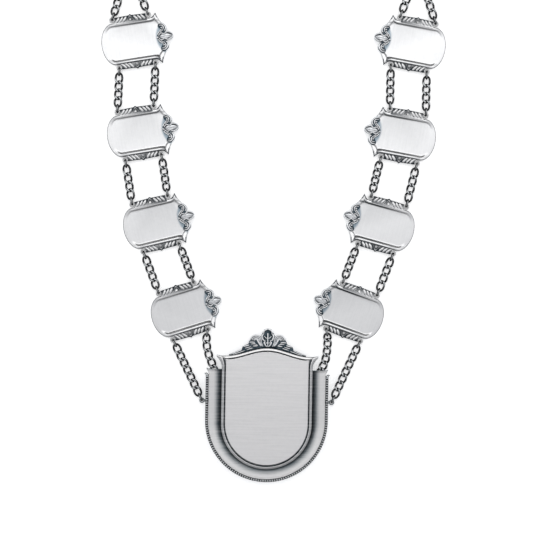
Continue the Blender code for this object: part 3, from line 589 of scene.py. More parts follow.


# painted shade on one side's roll and sheet: dark round the edge and at the roll's foot
def rollShade(x, y, normal, upper, footShadow):
    fromEdge = tray["halfWidth"] - y
    straight = blend(*shieldTarnishAndShade["straight"], x)
    if normal.y > 0 and fromEdge < shieldTarnishAndShade["rollSide"] or normal.x > 0.35:
        wide = 0.0 if upper else shieldTarnishAndShade["lowerWider"]
        bright = blend(0.10 + wide, 0.50 + wide * 1.6, fromEdge)
        edge = max(fade(0.30, 0.80, normal.z), straight * (1 - bright))
        return shieldTarnishAndShade["edge"] * edge * (0.4 + 0.6 * blend(*shieldTarnishAndShade["edgeFrom"], x))
    if upper:
        shade = blend(*shieldTarnishAndShade["shadeRise"], fromEdge) * fade(*shieldTarnishAndShade["shadeFall"], fromEdge)
        line = blend(*shieldTarnishAndShade["lineRise"], fromEdge) * fade(*shieldTarnishAndShade["lineFall"], fromEdge)
        return max(shieldTarnishAndShade["footShade"] * shade * straight,
                   footShadow * line * blend(*shieldTarnishAndShade["lineFrom"], x))
    # painted shade on the lower roll's steep inner slope
    steep = fade(0.50, 0.93, normal.z)
    return shieldTarnishAndShade["lowerFoot"] * footShadow * steep * blend(*shieldTarnishAndShade["lowerFrom"], x)


# tarnish of a bar: dark between the leaves, with a line along each arm of the vee
def barTarnish(x, y, z):
    rise = z - bar["high"]
    low, high = shieldTarnishAndShade["barHeights"]
    level = fullDark * fade(low, high, rise)
    across = shieldTarnishAndShade["veeSlope"] * (y - bar["veeFoot"])
    near, far = shieldTarnishAndShade["veeLine"]
    if rise > low and max(0.3, near - across) < x < far - across:
        level = max(level, shieldTarnishAndShade["vee"])
    return level


# tarnish and painted shade of one half of a shield, upper when it is the half towards the neck; x along, y
# from the middle line
def halfTarnishAndShade(x, y, z, normal, upper, footShadow):
    level = rollShade(x, y, normal, upper, footShadow)
    if y > tray["halfWidth"] + 0.2 and abs(x) < bar["eyeX"] + shieldTarnishAndShade["barEnd"]:
        level = barTarnish(abs(x), y, z)
    # painted shade along the round end's edge
    if x < tray["endStart"]:
        rim = math.hypot((x - tray["endStart"]) / tray["endLength"], y / tray["halfWidth"])
        level = max(level, shieldTarnishAndShade["endRim"] * blend(0.93, 0.985, rim))
    if math.hypot(abs(x) - bar["eyeX"], y - bar["eyeY"]) < bar["eyeReach"] and z > 2.0:
        level = fullDark * fade(*shieldTarnishAndShade["eyeHeights"], z)
    return level


def addShield(name, x, y, turn):
    upper = math.copysign(1, math.cos(math.radians(turn)))
    footShadow = tray["footShadowLines"].get(name, tray["footShadowLines"]["left"])
    bm = bmesh.new()
    buildTray(bm, upper)
    for side in (-1, 1):
        buildBar(bm, side)

    def tarnishAndShade(co, normal):
        side = 1 if co.y > 0 else -1
        facing = Vector((normal.x, normal.y * side, normal.z))
        return halfTarnishAndShade(co.x, abs(co.y), co.z, facing, side == upper, footShadow)

    addPiece(f"small_shield_{name}", bm, placeAt(x, y, turn), "shieldSilver", [f"shield_{name}"],
             shade=38.0, tarnishAndShade=tarnishAndShade)


smallCrest = {
    "base": 2.6, "top": 3.35, "line": 3.65, "rim": 4.05,
    # moving the relief towards the neck leaves the dark plate showing on the far side as a painted shadow
    "lean": 0.28,       # how far the relief sits towards the neck
    "outline": [(16.5, 0.0), (16.8, 1.6), (17.5, 2.9), (18.9, 4.0), (19.9, 5.0), (19.2, 6.2), (18.2, 7.6),
                (18.6, 9.2), (20.8, 9.9), (22.6, 9.0), (23.8, 7.5), (24.1, 5.6), (23.2, 4.0), (22.3, 3.2),
                (23.6, 3.0), (25.4, 2.6), (27.2, 1.7), (28.0, 0.3)],
    "leafRim": [(17.9, 0.8), (18.6, 1.9), (20.0, 2.40), (21.1, 1.8), (22.1, 1.6), (23.1, 2.4), (24.2, 2.75),
                (25.4, 2.4), (26.4, 1.9), (27.3, 1.2), (27.8, 0.1)],
    # the scroll beside the leaf: its stem, then its fan from the outer line in
    "scroll": [
        ("stem", 0.48, [(17.1, 1.4), (17.9, 2.9), (19.2, 4.1), (20.7, 5.3)]),
        ("stem", 0.36, [(18.8, 2.5), (19.7, 3.4), (20.9, 4.2), (21.8, 4.9)]),
        ("fan", 0.58, [(22.3, 3.7), (23.2, 4.6), (23.5, 5.9), (23.0, 7.4), (21.8, 8.7), (20.4, 9.3),
                       (18.9, 8.9)]),
        ("fan", 0.46, [(21.3, 4.8), (22.0, 5.8), (21.8, 7.0), (20.8, 7.9), (19.2, 7.8)]),
    ],
    "fanLift": 0.25, "leafRimRadius": 0.55,
    # the leaf, its midrib and the bosses: places and sizes
    "leafStart": 18.2, "leafSize": (9.3, 4.4, 0.9), "leafGroove": 0.3,
    "midrib": (18.4, 22.0, 27.2), "midribRadius": 0.30,
    "knuckle": (20.7, 6.1), "knuckleSize": (1.4, 1.2, 0.9), "ball": (17.0, 0.0), "ballSize": (1.7, 1.7, 1.5),
    # tarnish in the recesses, and how much less there is on the leaf
    "dark": 0.96, "leafBright": 0.66, "leafFrom": 18.6, "leafHalfWidth": 2.3,
}


# a closed plate whose outline eases in over a few levels of (inset, height)
def buildPlate(bm, outline, levels):
    centre = Vector((sum(x for x, _ in outline), sum(y for _, y in outline))) / len(outline)
    rings = []
    for inset, z in levels:
        ring = []
        for point in outline:
            spoke = Vector(point) - centre
            spoke *= max(0.0, 1 - inset / max(spoke.length, 0.01))
            ring.append(Vector((*(centre + spoke), z)))
        rings.append(ring)
    closedSkin(bm, rings)


# a raised line on a casting, round on top, thinner at its ends
def ridge(bm, points, radius, z, steps=4):
    row = smoothRow(points, steps)
    thin, last = 0.45, len(row) - 1
    radii = [radius * (thin + (1 - thin) * max(0.0, math.sin(math.pi * index / last)) ** 0.5)
             for index in range(len(row))]
    tube(bm, [(x, y, z) for x, y in row], radii)


def addSmallCrest(name, x, y, turn):
    crest = smallCrest
    top, rim = crest["top"], crest["rim"]
    lean = math.copysign(crest["lean"], math.cos(math.radians(turn)))
    bm = bmesh.new()
    outline = smoothRow(crest["outline"], 3)
    outline += [(px, -py) for px, py in reversed(outline[1:])]
    buildPlate(bm, outline, [(0.2, crest["base"]), (0.0, crest["base"] + 0.2), (0.0, top - 0.2), (0.3, top)])
    for hand in (-1, 1):
        for part, radius, points in crest["scroll"]:
            lift = crest["fanLift"] if part == "fan" else 0.0
            ridge(bm, [(px, hand * py + lean) for px, py in points], radius, crest["line"] + lift)
        ridge(bm, [(px, hand * py + lean) for px, py in crest["leafRim"]], crest["leafRimRadius"], rim)
        knuckleX, knuckleY = crest["knuckle"]
        blob(bm, (knuckleX, hand * knuckleY + lean, rim), crest["knuckleSize"])
    petal(bm, (crest["leafStart"], lean, top), crest["leafSize"], crest["leafGroove"])
    ridge(bm, [(px, lean) for px in crest["midrib"]], crest["midribRadius"], rim - 0.05)
    blob(bm, (*crest["ball"], top + 0.35), crest["ballSize"])

    def tarnishAndShade(co, normal):
        onLeaf = co.x > crest["leafFrom"] and abs(co.y - lean) < crest["leafHalfWidth"]
        dark = crest["dark"] - crest["leafBright"] * onLeaf
        # painted shade on the steep sides, darkest on those that face away from the neck and the light
        facing = normal.y * lean / abs(lean)     # sides that face away from the neck are darkest
        return clamp(dark * fade(top + 0.1, rim, co.z) + (0.5 - 0.4 * facing) * fade(0.3, 0.8, normal.z))

    addPiece(f"small_crest_{name}", bm, placeAt(x, y, turn), "castSilver", [f"crest_{name}"],
             shade=60.0, tarnishAndShade=tarnishAndShade)


# Pendant

pendantPlace = (-4.8, -168.7, -1.0)      # x, y and turn, as for the small shields

dish = {
    "halfWidth": 40.6, "top": 24.9, "roundCentre": -10.8, "sheet": 0.9,
    # height of the dish at so far in from its edge
    "section": [(0.0, 9.6), (1.5, 9.1), (3.5, 8.2), (6.0, 6.85), (8.4, 5.4), (9.6, 4.2), (10.6, 2.5),
                (11.6, 0.9)],
    "rows": (0.0, 0.25, 0.55, 0.9, 1.5, 2.5, 3.5, 4.7, 6.0, 7.2, 8.4, 9.6, 10.6, 11.6),   # rings of points
    "beadRise": 0.28, "beadWidth": 0.95, "beadDrop": 0.1,      # the rounded edge
    # at the top edge: how high it rises, how far its corners reach out and how far its middle dips
    "lip": 0.8, "lipFall": 1.6, "hornReach": 1.8, "hornFall": 3.8, "hornWidth": 3.0, "dip": 0.45,
    # the eyes at the sides: where they are and where the tapered arms to them run
    "armReach": 45.4, "armHeight": 2.3,
    "arm": [(33.8, 1.5), (37.0, 1.5), (41.0, 1.3), (43.7, 0.9)], "armFlat": 0.5,
    "postSpacing": 34.0, "postWidth": 6.0, "postTop": 5.65,
    # wire loops behind: place, direction, length, and how far out and how high the slack strand holds them
    "rearLoops": [(-36.8, 22.0, -76.0), (36.8, 22.0, 252.0)],
    "loopLength": 2.75, "loopHold": 1.45, "holdHeight": 1.95, "loopRadius": 0.5,
    # the dark band, patina with painted shade: where it starts and is full, at the sides and round the
    # bottom; then the floor's own
    "bandSides": (3.4, 7.2), "bandBottom": (1.8, 6.3), "bandLevel": 0.86, "floorFrom": (8.0, 10.4),
    "underside": 0.75, "topFace": 0.9,
}


# the dish's edge from its top left down, round and up to its top right, inset
def dishRoute(inset):
    halfWidth = dish["halfWidth"] - inset
    side = [dish["top"] - step for step in (0.0, 0.35, 0.8, 1.4, 2.4, 4.0, 7.0, 11.0, 16.0, 21.0, 26.0, 31.0)]
    points = [(-halfWidth, y) for y in side]
    for step in range(61):
        angle = math.pi + math.pi * step / 60
        points.append((halfWidth * math.cos(angle), dish["roundCentre"] + halfWidth * math.sin(angle)))
    return points + [(halfWidth, y) for y in reversed(side)]


# height at so far in from the edge
def dishHeight(inset):
    rows = dish["section"]
    for (near, high), (far, low) in zip(rows, rows[1:]):
        if inset <= far:
            return high + (low - high) * (max(near, inset) - near) / (far - near)
    return rows[-1][1]


def buildDish(bm):
    rows = []
    for inset in dish["rows"]:
        bead = dish["beadRise"] * math.sin(math.pi * clamp(inset / dish["beadWidth"]))
        height = dishHeight(inset) + bead - dish["beadDrop"] * (inset == 0.0)
        ring = []
        for x, y in dishRoute(inset):
            fromTop = dish["top"] - y
            lift = dish["lip"] * fade(0.0, dish["lipFall"], fromTop)
            flare = dish["hornReach"] * clamp(1 - fromTop / dish["hornFall"]) ** 1.5
            flare *= clamp(1 - inset / dish["hornWidth"])
            dip = dish["dip"] * clamp(1 - fromTop / 1.2) * clamp(inset / 4.0)
            ring.append(Vector((x + math.copysign(flare, x), y - dip + 0.2 * flare, height + lift)))
        rows.append(ring)
    _, floor, _ = skinRings(bm, rows, closed=False)
    ends = [vert for vert in {vert for edge in floor for vert in edge.verts}
            if sum(edge in floor for edge in vert.link_edges) == 1]
    bmesh.ops.contextual_create(bm, geom=floor + [bm.edges.new(ends)])
    bmesh.ops.recalc_face_normals(bm, faces=bm.faces)
    if sum(face.normal.z for face in bm.faces) < 0:
        bmesh.ops.reverse_faces(bm, faces=bm.faces)
    bmesh.ops.solidify(bm, geom=bm.faces[:], thickness=dish["sheet"])


def buildDishFittings(bm):
    for hand in (-1, 1):
        eye = torus(bm, bar["eyeRadius"], bar["eyeWire"], *eyeSteps)
        bmesh.ops.translate(bm, vec=(hand * dish["armReach"], dish["armHeight"], eyeLevel), verts=eye)
        route = [(hand * x, dish["armHeight"], eyeLevel) for x, _ in dish["arm"]]
        tube(bm, route, [radius for _, radius in dish["arm"]], 12, dish["armFlat"])
        post = bmesh.ops.create_cone(bm, cap_ends=True, segments=24, radius1=dish["postWidth"] / 2,
                                     radius2=dish["postWidth"] / 2, depth=dish["postTop"] - dish["sheet"] / 2)
        middle = (dish["postTop"] + dish["sheet"] / 2) / 2
        bmesh.ops.translate(bm, vec=(hand * dish["postSpacing"] / 2, 0.0, middle), verts=post["verts"])
    for x, y, turn in dish["rearLoops"]:
        ahead = Vector((math.cos(math.radians(turn)), math.sin(math.radians(turn)), 0.0))
        top = dishHeight(dish["halfWidth"] - abs(x)) - dish["sheet"]
        half = [(0.0, top), (0.0, 1.2), (0.25, 0.6), (0.7, 0.5)]
        bent = half + [(dish["loopLength"] - along, z) for along, z in reversed(half)]
        route = [Vector((x, y, 0.0)) + ahead * along + up * z for along, z in bent]
        tube(bm, route, [dish["loopRadius"]] * len(route), 10)


# tarnish and painted shade of the dish: the band towards the front shield is patina with painted shade; the
# arms, the steep and downward faces, and the top edge's faces towards the neck are kept dark
def dishTarnishAndShade(co, normal):
    x, y, _ = co
    below = dish["roundCentre"] - y
    reach = math.hypot(x, below) if below > 0 else abs(x)
    inset = dish["halfWidth"] - reach
    low = blend(5.0, 25.0, below)     # the dark band is wider round the bottom
    start, full = [a + (b - a) * low for a, b in zip(dish["bandSides"], dish["bandBottom"])]
    band = dish["bandLevel"]
    level = band * blend(start, full, inset) + (1 - band) * blend(*dish["floorFrom"], inset)
    if inset < -1.2 or normal.z < 0.1:     # the arms and the underside
        level = dish["underside"]
    return max(level, dish["topFace"] * blend(-0.2, 0.6, normal.y) * (y > dish["top"] - 0.3))


def addDish():
    bm = bmesh.new()
    buildDish(bm)
    buildDishFittings(bm)
    addPiece("dish", bm, placeAt(*pendantPlace), "dishSilver", ["pendant_dish"], shade=45.0,
             tarnishAndShade=dishTarnishAndShade, brush="along")


beads = {
    "width": 2.1, "pitch": 1.63, "lengthShare": 0.80, "wire": 1.0, "wireFlat": 0.4,
    "standOff": 1.15, "level": 9.1, "start": 21.2,
    # the wire's bent end: outwards, up the chain and radius
    "tail": [(0.1, -1.2, 0.9), (0.2, -0.3, 1.0), (0.8, 0.35, 0.75), (1.9, 0.5, 0.15)],
    "heights": (0.45, 0.85),      # above the wire's middle: where a bead is dark and where it is bright
}


# points a pitch apart along a row, with the direction at each
def evenPoints(row, pitch):
    lengths = [0.0]
    for here, there in zip(row, row[1:]):
        lengths.append(lengths[-1] + (there - here).length)
    count = round(lengths[-1] / pitch)
    result = []
    segment = 0
    for index in range(count + 1):
        target = lengths[-1] * index / count
        while segment < len(row) - 2 and lengths[segment + 1] < target:
            segment += 1
        here, there = row[segment], row[segment + 1]
        part = (target - lengths[segment]) / (lengths[segment + 1] - lengths[segment])
        result.append((here.lerp(there, part), (there - here).normalized()))
    return result


def addBeadWire():
    bm = bmesh.new()
    route = [point for point in dishRoute(-beads["standOff"]) if point[1] < beads["start"]]
    route = [(route[0][0], beads["start"]), *route, (route[-1][0], beads["start"])]
    row = [Vector((x, y, beads["level"])) for x, y in route]
    tube(bm, row, [beads["wire"]] * len(row), 8, beads["wireFlat"])
    size = (beads["pitch"] * beads["lengthShare"], beads["width"], beads["width"])
    for point, ahead in evenPoints(row, beads["pitch"])[1:-1]:
        blob(bm, point, size, math.atan2(ahead.y, ahead.x))
    for hand, end in ((-1, row[0]), (1, row[-1])):
        bend = [end + Vector((hand * x, y, 0.0)) for x, y, _ in beads["tail"]]
        tube(bm, bend, [radius for _, _, radius in beads["tail"]], 10)
    addPiece("bead_wire", bm, placeAt(*pendantPlace), "chainSilver", ["pendant_bead_wire"], shade=60.0,
             tarnishAndShade=lambda co, normal: fade(*beads["heights"], co.z - beads["level"]))


front = {
    "halfWidth": 31.7, "roundCentre": -13.0, "flareStart": 26.0,
    "horn": (35.4, 34.2), "hornInset": (2.3, 1.1),
    "top": 39.9, "shoulder": 34.1, "shoulderFrom": 0.93, "cornerRise": 0.6, "bluntTo": 1.6,
    "base": 6.0, "plate": 1.5, "rimWidth": 2.2, "rimRise": 1.7,
    # how far in from the edge, in shares of the rim's width; rise above the plate, of the rim's
    "section": [(1.72, 0.0), (1.52, 0.0), (1.32, 0.0), (1.20, -0.08), (1.08, -0.26), (1.00, -0.18),
                (0.93, 0.30), (0.86, 0.72), (0.78, 0.94), (0.68, 1.00), (0.55, 0.96), (0.40, 0.90),
                (0.25, 0.82), (0.12, 0.73), (0.05, 0.62), (0.00, 0.40), (0.00, -0.15), (0.03, -0.60),
                (0.20, -0.88)],
}


# the ogee of the top edge: a high middle that falls to level shoulders
def frontTop(x, inset):
    share = min(1.0, abs(x) / (front["halfWidth"] * front["shoulderFrom"]))
    fall = 0.5 - 0.5 * math.cos(math.pi * share)
    return front["top"] - inset + (front["shoulder"] - front["top"]) * fall


# the front shield's outline, inset, from its bottom round its right side
def frontOutline(inset):
    halfWidth = front["halfWidth"] - inset
    hornX, hornY = [at - inset * share for at, share in zip(front["horn"], front["hornInset"])]
    blunt = clamp(1 - inset / front["bluntTo"])     # the horn's end is rounded, the field's corner is square
    right = []
    for step in range(37):
        angle = -math.pi / 2 + math.pi / 2 * step / 36
        right.append((halfWidth * math.cos(angle), front["roundCentre"] + halfWidth * math.sin(angle)))
    for step in range(1, 12):
        y = front["roundCentre"] + (front["flareStart"] - front["roundCentre"]) * step / 12
        right.append((halfWidth, y))
    for step in range(13):
        share = step / 12
        y = front["flareStart"] + (hornY - 0.8 * blunt - front["flareStart"]) * share
        right.append((halfWidth + (hornX - halfWidth) * share ** 2.2, y))
    right.append((hornX + 0.15 * blunt, hornY - 0.35 * blunt))
    right.append((hornX + 0.05 * blunt, hornY + 0.10))
    cornerX = hornX - 0.3
    right.append((cornerX, frontTop(cornerX, inset) + front["cornerRise"]))
    for step in range(1, 31):
        x = cornerX * (1 - step / 30)
        lift = front["cornerRise"] * clamp(1 - (cornerX - x) / 4.0) ** 2
        right.append((x, frontTop(x, inset) + lift))
    return right + [(-x, y) for x, y in reversed(right[1:-1])]


def addFrontShield():
    bm = bmesh.new()
    top = front["base"] + front["plate"]
    rings = []
    for inset, rise in smoothRow(front["section"], 2):
        outline = frontOutline(inset * front["rimWidth"])
        rings.append([Vector((x, y, max(front["base"], top + rise * front["rimRise"]))) for x, y in outline])
    closedSkin(bm, rings)

    def tarnishAndShade(co, normal):
        # tarnish in the groove inside the rim; painted shade on the rim's outward faces, but not along the
        # top edge, and on the steep sides
        groove = 0.75 * fade(top - 0.30, top - 0.02, co.z)
        below = min(0.0, co.y - front["roundCentre"])
        reach = Vector((co.x, below)).normalized()
        outside = reach.dot(normal.xy) if co.y < front["horn"][1] - 0.3 else 0.0
        outerShade = 0.42 * blend(0.02, 0.20, outside)       # the rim's outer half
        return max(groove, outerShade, fullDark * fade(0.45, 0.90, normal.z))

    addPiece("front_shield", bm, placeAt(*pendantPlace), "brushedSilver", ["pendant_shield"], shade=50.0,
             tarnishAndShade=tarnishAndShade, brush="along")


bigCrest = {
    "base": 4.4, "plate": 1.3, "floor": 7.0, "line": 7.3, "leaf": 7.65,
    # how far its foot goes under the front shield's top edge, and how far its face stays clear of it
    "seat": 4.0, "gap": 0.4, "seatHalfWidth": 25.4,
    # the edge above the shield, from tail to top
    "edge": [(27.0, 34.9), (23.1, 36.6), (20.2, 37.9), (18.2, 38.7), (17.6, 40.3), (16.6, 41.2), (13.6, 42.6),
             (13.3, 43.9), (12.5, 45.2), (12.0, 46.7), (10.5, 48.3), (8.2, 49.0), (6.2, 48.5), (5.2, 47.7),
             (4.6, 48.9), (3.8, 50.3), (3.4, 51.7), (2.0, 52.9), (0.0, 53.4)],
    # three turns of wire round a middle, each over so many degrees, which start from a common foot
    "volute": {"centre": (8.2, 44.9), "radii": (3.70, 2.70, 1.75), "wires": (0.52, 0.44, 0.40),
               "foot": (3.3, 41.0), "footStep": (0.55, 0.10), "start": -14, "sweep": 190},
    "midrib": [(0.0, 40.7), (0.0, 43.5), (0.0, 46.5), (0.0, 50.4)], "midribRadius": 0.50,
    "boss": 43.6, "bossSize": (1.3, 1.5, 1.0),
    # lines of the relief: which group, radius, points; the radii are drawn a little thicker
    "thicker": 1.15,
    "lines": [
        ("curl", 0.46, [(9.2, 44.9), (8.7, 45.8), (7.8, 45.9), (6.9, 44.5), (5.9, 42.7), (4.8, 41.2)]),
        ("step", 0.50, [(12.7, 43.7), (10.6, 43.9), (8.9, 43.6)]),
        ("step", 0.36, [(11.6, 42.5), (9.8, 42.7), (8.1, 42.4)]),
        ("step", 0.50, [(10.3, 41.1), (8.7, 41.2), (6.9, 41.4)]),
        ("step", 0.26, [(9.2, 43.2), (8.2, 42.3), (7.2, 41.7)]),
        ("slope", 0.48, [(17.0, 40.7), (14.6, 41.3), (12.9, 41.9)]),
        ("slope", 0.36, [(15.8, 39.6), (13.6, 40.1), (11.6, 40.7)]),
        ("slope", 0.42, [(14.6, 38.5), (12.5, 39.1), (10.5, 39.7)]),
        ("tail", 0.44, [(17.9, 38.5), (20.5, 37.3), (23.3, 36.1), (26.4, 35.0)]),
        ("tail", 0.34, [(15.8, 37.9), (18.8, 36.8), (21.8, 35.7), (24.4, 35.0)]),
        ("leaf", 0.50, [(0.4, 40.9), (1.5, 41.6), (2.2, 42.8), (2.4, 43.8), (1.7, 44.6)]),
        ("leaf", 0.52, [(1.7, 44.9), (3.0, 45.4), (3.8, 46.6), (4.0, 47.9), (3.6, 49.1), (2.8, 49.7)]),
        ("leaf", 0.60, [(2.7, 49.8), (3.0, 50.8), (2.5, 52.0), (1.4, 52.7), (0.1, 52.9)]),
        ("leaf", 0.34, [(0.1, 46.5), (1.3, 47.0), (2.5, 48.2)]),
        ("leaf", 0.28, [(0.1, 43.4), (0.8, 43.3), (1.5, 43.9)]),
    ],
    "rises": {"curl": 0.15, "step": 0.20, "slope": 0.05, "tail": -0.10, "leaf": 0.35},
}


def addBigCrest():
    crest = bigCrest
    bm = bmesh.new()
    half = smoothRow(crest["edge"], 3)
    across = [crest["seatHalfWidth"] * step / 14 for step in range(15)]
    below = [(x, frontTop(x, 0.0)) for x in across]
    foot = [(x, y - crest["seat"]) for x, y in below] + half
    face = [(x, y + crest["gap"]) for x, y in below] + half
    base, floor = crest["base"], crest["floor"]
    for outline, levels in (
            (foot, [(0.1, base), (0.0, base + 0.2), (0.0, base + crest["plate"])]),
            (face, [(0.0, base + 0.5), (0.0, floor - 0.3), (0.3, floor)])):
        buildPlate(bm, outline + [(-x, y) for x, y in reversed(outline[1:-1])], levels)
    volute = crest["volute"]
    centreX, centreY = volute["centre"]
    for hand in (-1, 1):
        for line, (radius, wire) in enumerate(zip(volute["radii"], volute["wires"])):
            points = [tuple(at + move * line for at, move in zip(volute["foot"], volute["footStep"]))]
            for step in range(13):
                angle = math.radians(volute["start"] + volute["sweep"] * step / 12)
                points.append((centreX - radius * math.cos(angle), centreY + radius * math.sin(angle)))
            ridge(bm, [(hand * x, y) for x, y in points], wire, crest["line"], 2)
        for group, wire, points in crest["lines"]:
            height = crest["line"] + crest["rises"][group]
            ridge(bm, [(hand * x, y) for x, y in points], crest["thicker"] * wire, height)
    ridge(bm, crest["midrib"], crest["midribRadius"], crest["leaf"] + 0.1)
    blob(bm, (0.0, crest["boss"], crest["leaf"] + 0.1), crest["bossSize"])

    def tarnishAndShade(co, normal):
        # tarnish in the recesses below the relief, and painted shade on the steep sides
        low = fade(floor + 0.1, floor + 0.45, co.z)
        return clamp(fullDark * low + 0.4 * fade(0.2, 0.7, normal.z))

    addPiece("pendant_crest_relief", bm, placeAt(*pendantPlace), "castSilver", ["pendant_crest"],
             shade=60.0, tarnishAndShade=tarnishAndShade)


# Chain

link = {
    "wire": 1.5, "halfWidth": 2.3, "pitch": 5.6, "twist": 55.0, "twistPower": 1.5, "square": 0.02,
    "nest": 1.5, "lie": 1.88, "loopWire": 1.4, "loopReach": 2.6, "loopRadius": 2.2, "steps": 28, "sides": 10,
    # heights above a joint where the wire is dark and where it is rubbed bright; the end links are less worn
    "heights": (0.90, 1.58), "endWorn": 0.5,
    # the power by which a strand comes down from its ends, where it is short and where it has more links
    "fall": (3, 9), "shortCount": 12,
}


# a ring of round wire laid along a closed path, which gives its point and its upper side at an angle
def bentRing(bm, path, wire):
    radius = 2 * wire
    for vert in torus(bm, radius, wire, link["steps"], link["sides"]):
        angle = math.atan2(vert.co.y, vert.co.x)
        out = math.hypot(vert.co.x, vert.co.y) - radius
        rise = vert.co.z
        point, upper = path(angle)
        ahead = (path(angle + 0.02)[0] - path(angle - 0.02)[0]).normalized()
        upper = (upper - ahead * upper.dot(ahead)).normalized()
        vert.co = point + ahead.cross(upper) * out + upper * rise


# one curb link between two joints of the chain, its bows turned out of the plane
def curbLink(bm, start, end, firstTwist, lastTwist):
    chord = end - start
    halfLength = (chord.length + link["nest"]) / 2
    along = chord.normalized()
    across = up.cross(along).normalized()
    turned = Matrix((along, across, along.cross(across))).transposed()
    middle = (start + end) / 2
    square = link["square"]

    def path(angle):
        reach = (math.cos(angle) - square * math.cos(3 * angle)) / (1 - square)
        width = link["halfWidth"] * (math.sin(angle) + square * math.sin(3 * angle)) / (1 - square)
        twist = math.radians(lastTwist if reach > 0 else firstTwist) * abs(reach) ** link["twistPower"]
        point = Vector((halfLength * reach, width * math.cos(twist), width * math.sin(twist)))
        return middle + turned @ point, turned @ Vector((0.0, -math.sin(twist), math.cos(twist)))

    bentRing(bm, path, link["wire"])


# a jump ring that stands on the ground through a hook point; returns the chain's first joint
def uprightLoop(bm, hook, towards):
    along = Vector((towards.x - hook.x, towards.y - hook.y, 0.0)).normalized()
    centre = Vector((hook.x, hook.y, eyeLevel)) + along * link["loopReach"]

    def path(angle):
        spoke = along * link["loopReach"] * math.cos(angle) + up * link["loopRadius"] * math.sin(angle)
        return centre + spoke, along.cross(up)

    bentRing(bm, path, link["loopWire"])
    return centre + along * (link["loopReach"] - link["nest"] / 2)


# a strand of curb links with a jump ring at each hook, on the ground in between;
# where a last joint is given, the last link goes there without a ring
def addStrand(name, node, hooks, between=(), lastJoint=None):
    first, last = hooks
    bm = bmesh.new()
    start = uprightLoop(bm, first, between[0] if between else last)
    end = lastJoint or uprightLoop(bm, last, between[-1] if between else first)
    row = [start, end]
    if between:
        row = [Vector(point) for point in smoothRow([start, *between, end], 12)]
    joints = [point for point, _ in evenPoints(row, link["pitch"])]
    count = len(joints) - 1
    fall = link["fall"][0 if count < link["shortCount"] else 1]
    for index, joint in enumerate(joints):
        rise = abs(2 * index / count - 1) ** fall
        endHeight = end.z if index * 2 > count else start.z
        joint.z = link["lie"] + (endHeight - link["lie"]) * rise
    for index, (here, there) in enumerate(zip(joints, joints[1:])):
        firstTwist = 0.0 if index == 0 else link["twist"]
        lastTwist = 0.0 if index == count - 1 else -link["twist"]
        curbLink(bm, here, there, firstTwist, lastTwist)

    def tarnishAndShade(co, normal):
        near = min(joints, key=lambda joint: (joint - co).length_squared)
        worn = blend(*link["heights"], co.z - near.z)
        if near in (joints[0], joints[-1]):
            worn *= link["endWorn"]
        # dark oxide, rubbed bright on top of the bows; the bright part is kept to faces turned up, so the
        # wire's steep sides stay dark as painted shade
        return fullDark * (1 - worn * blend(0.62, 0.95, normal.z))

    addPiece(name, bm, Matrix.Scale(mm, 4), "chainSilver", [node], shade=60.0, tarnishAndShade=tarnishAndShade)


rings = {   # hook: how far from the middle a jump ring's near side lies inside the ring
    "joining": {"width": 12.0, "wire": 1.6, "hook": 3.45},
    "clasp": {"width": 21.0, "wire": 2.0, "hook": 7.55},
}


def addRing(name, kind, place, node):
    ring = rings[kind]
    bm = bmesh.new()
    made = torus(bm, (ring["width"] - ring["wire"]) / 2, ring["wire"], 64, 14)
    bmesh.ops.translate(bm, vec=(0.0, 0.0, eyeLevel), verts=made)
    # dark oxide and painted shade: the ring is dark everywhere but on the faces turned up
    addPiece(name, bm, placeAt(*place, 0.0), "chainSilver", [node], shade=60.0,
             tarnishAndShade=lambda co, normal: 0.9 * fade(0.5, 0.99, normal.z))


# Where everything lies, as the solids do

shieldPlaces = {   # middle of the tray, and how far it is turned
    "left_1": (-97.9, 85.9, 8.8), "left_2": (-94.0, 21.6, 9.3),
    "left_3": (-82.7, -42.0, 13.3), "left_4": (-63.2, -103.2, 17.2),
    "right_1": (98.0, 83.8, 169.2), "right_2": (91.1, 19.4, 169.5),
    "right_3": (76.1, -43.0, 164.4), "right_4": (54.6, -103.8, 159.9),
}
joiningPlaces = {"left": (-101.5, 139.5), "right": (101.7, 137.4)}
claspPlace = (0.0, 212.4)
neckRoutes = {
    "left": ((-97.5, 152.7), (-90.9, 165.7), (-84.0, 177.7), (-74.0, 188.9), (-63.7, 196.6),
             (-49.5, 204.2), (-35.9, 209.5)),
    "right": ((97.7, 150.6), (91.0, 163.6), (84.1, 175.6), (74.2, 186.8), (63.9, 194.5),
              (49.6, 202.1), (36.0, 207.4)),
}
slackRoutes = {   # in the pendant's own frame
    "left": ((-43.2, 44.8), (-42.8, 39.9), (-41.8, 36.4), (-40.4, 31.5), (-38.3, 28.0)),
    "right": ((42.0, 47.6), (42.0, 41.6), (41.4, 36.3), (40.7, 30.9), (38.4, 26.9)),
}


# a point of a placed piece, back in millimetres of the whole chain
def inMillimetres(place, x, y):
    point = place @ Vector((x, y, 0.0)) / mm
    return Vector((point.x, point.y, 0.0))


# the middle of a shield's eye: inner towards the chain's middle, lower towards the pendant
def shieldEye(name, inner, lower):
    x = bar["eyeX"] if inner else -bar["eyeX"]
    y = -bar["eyeY"] if lower == name.startswith("left") else bar["eyeY"]
    return inMillimetres(placeAt(*shieldPlaces[name]), x, y)


# where a jump ring's near side lies inside a lying ring
def hookOn(centre, towards, reach):
    return centre + (towards - centre).normalized() * reach


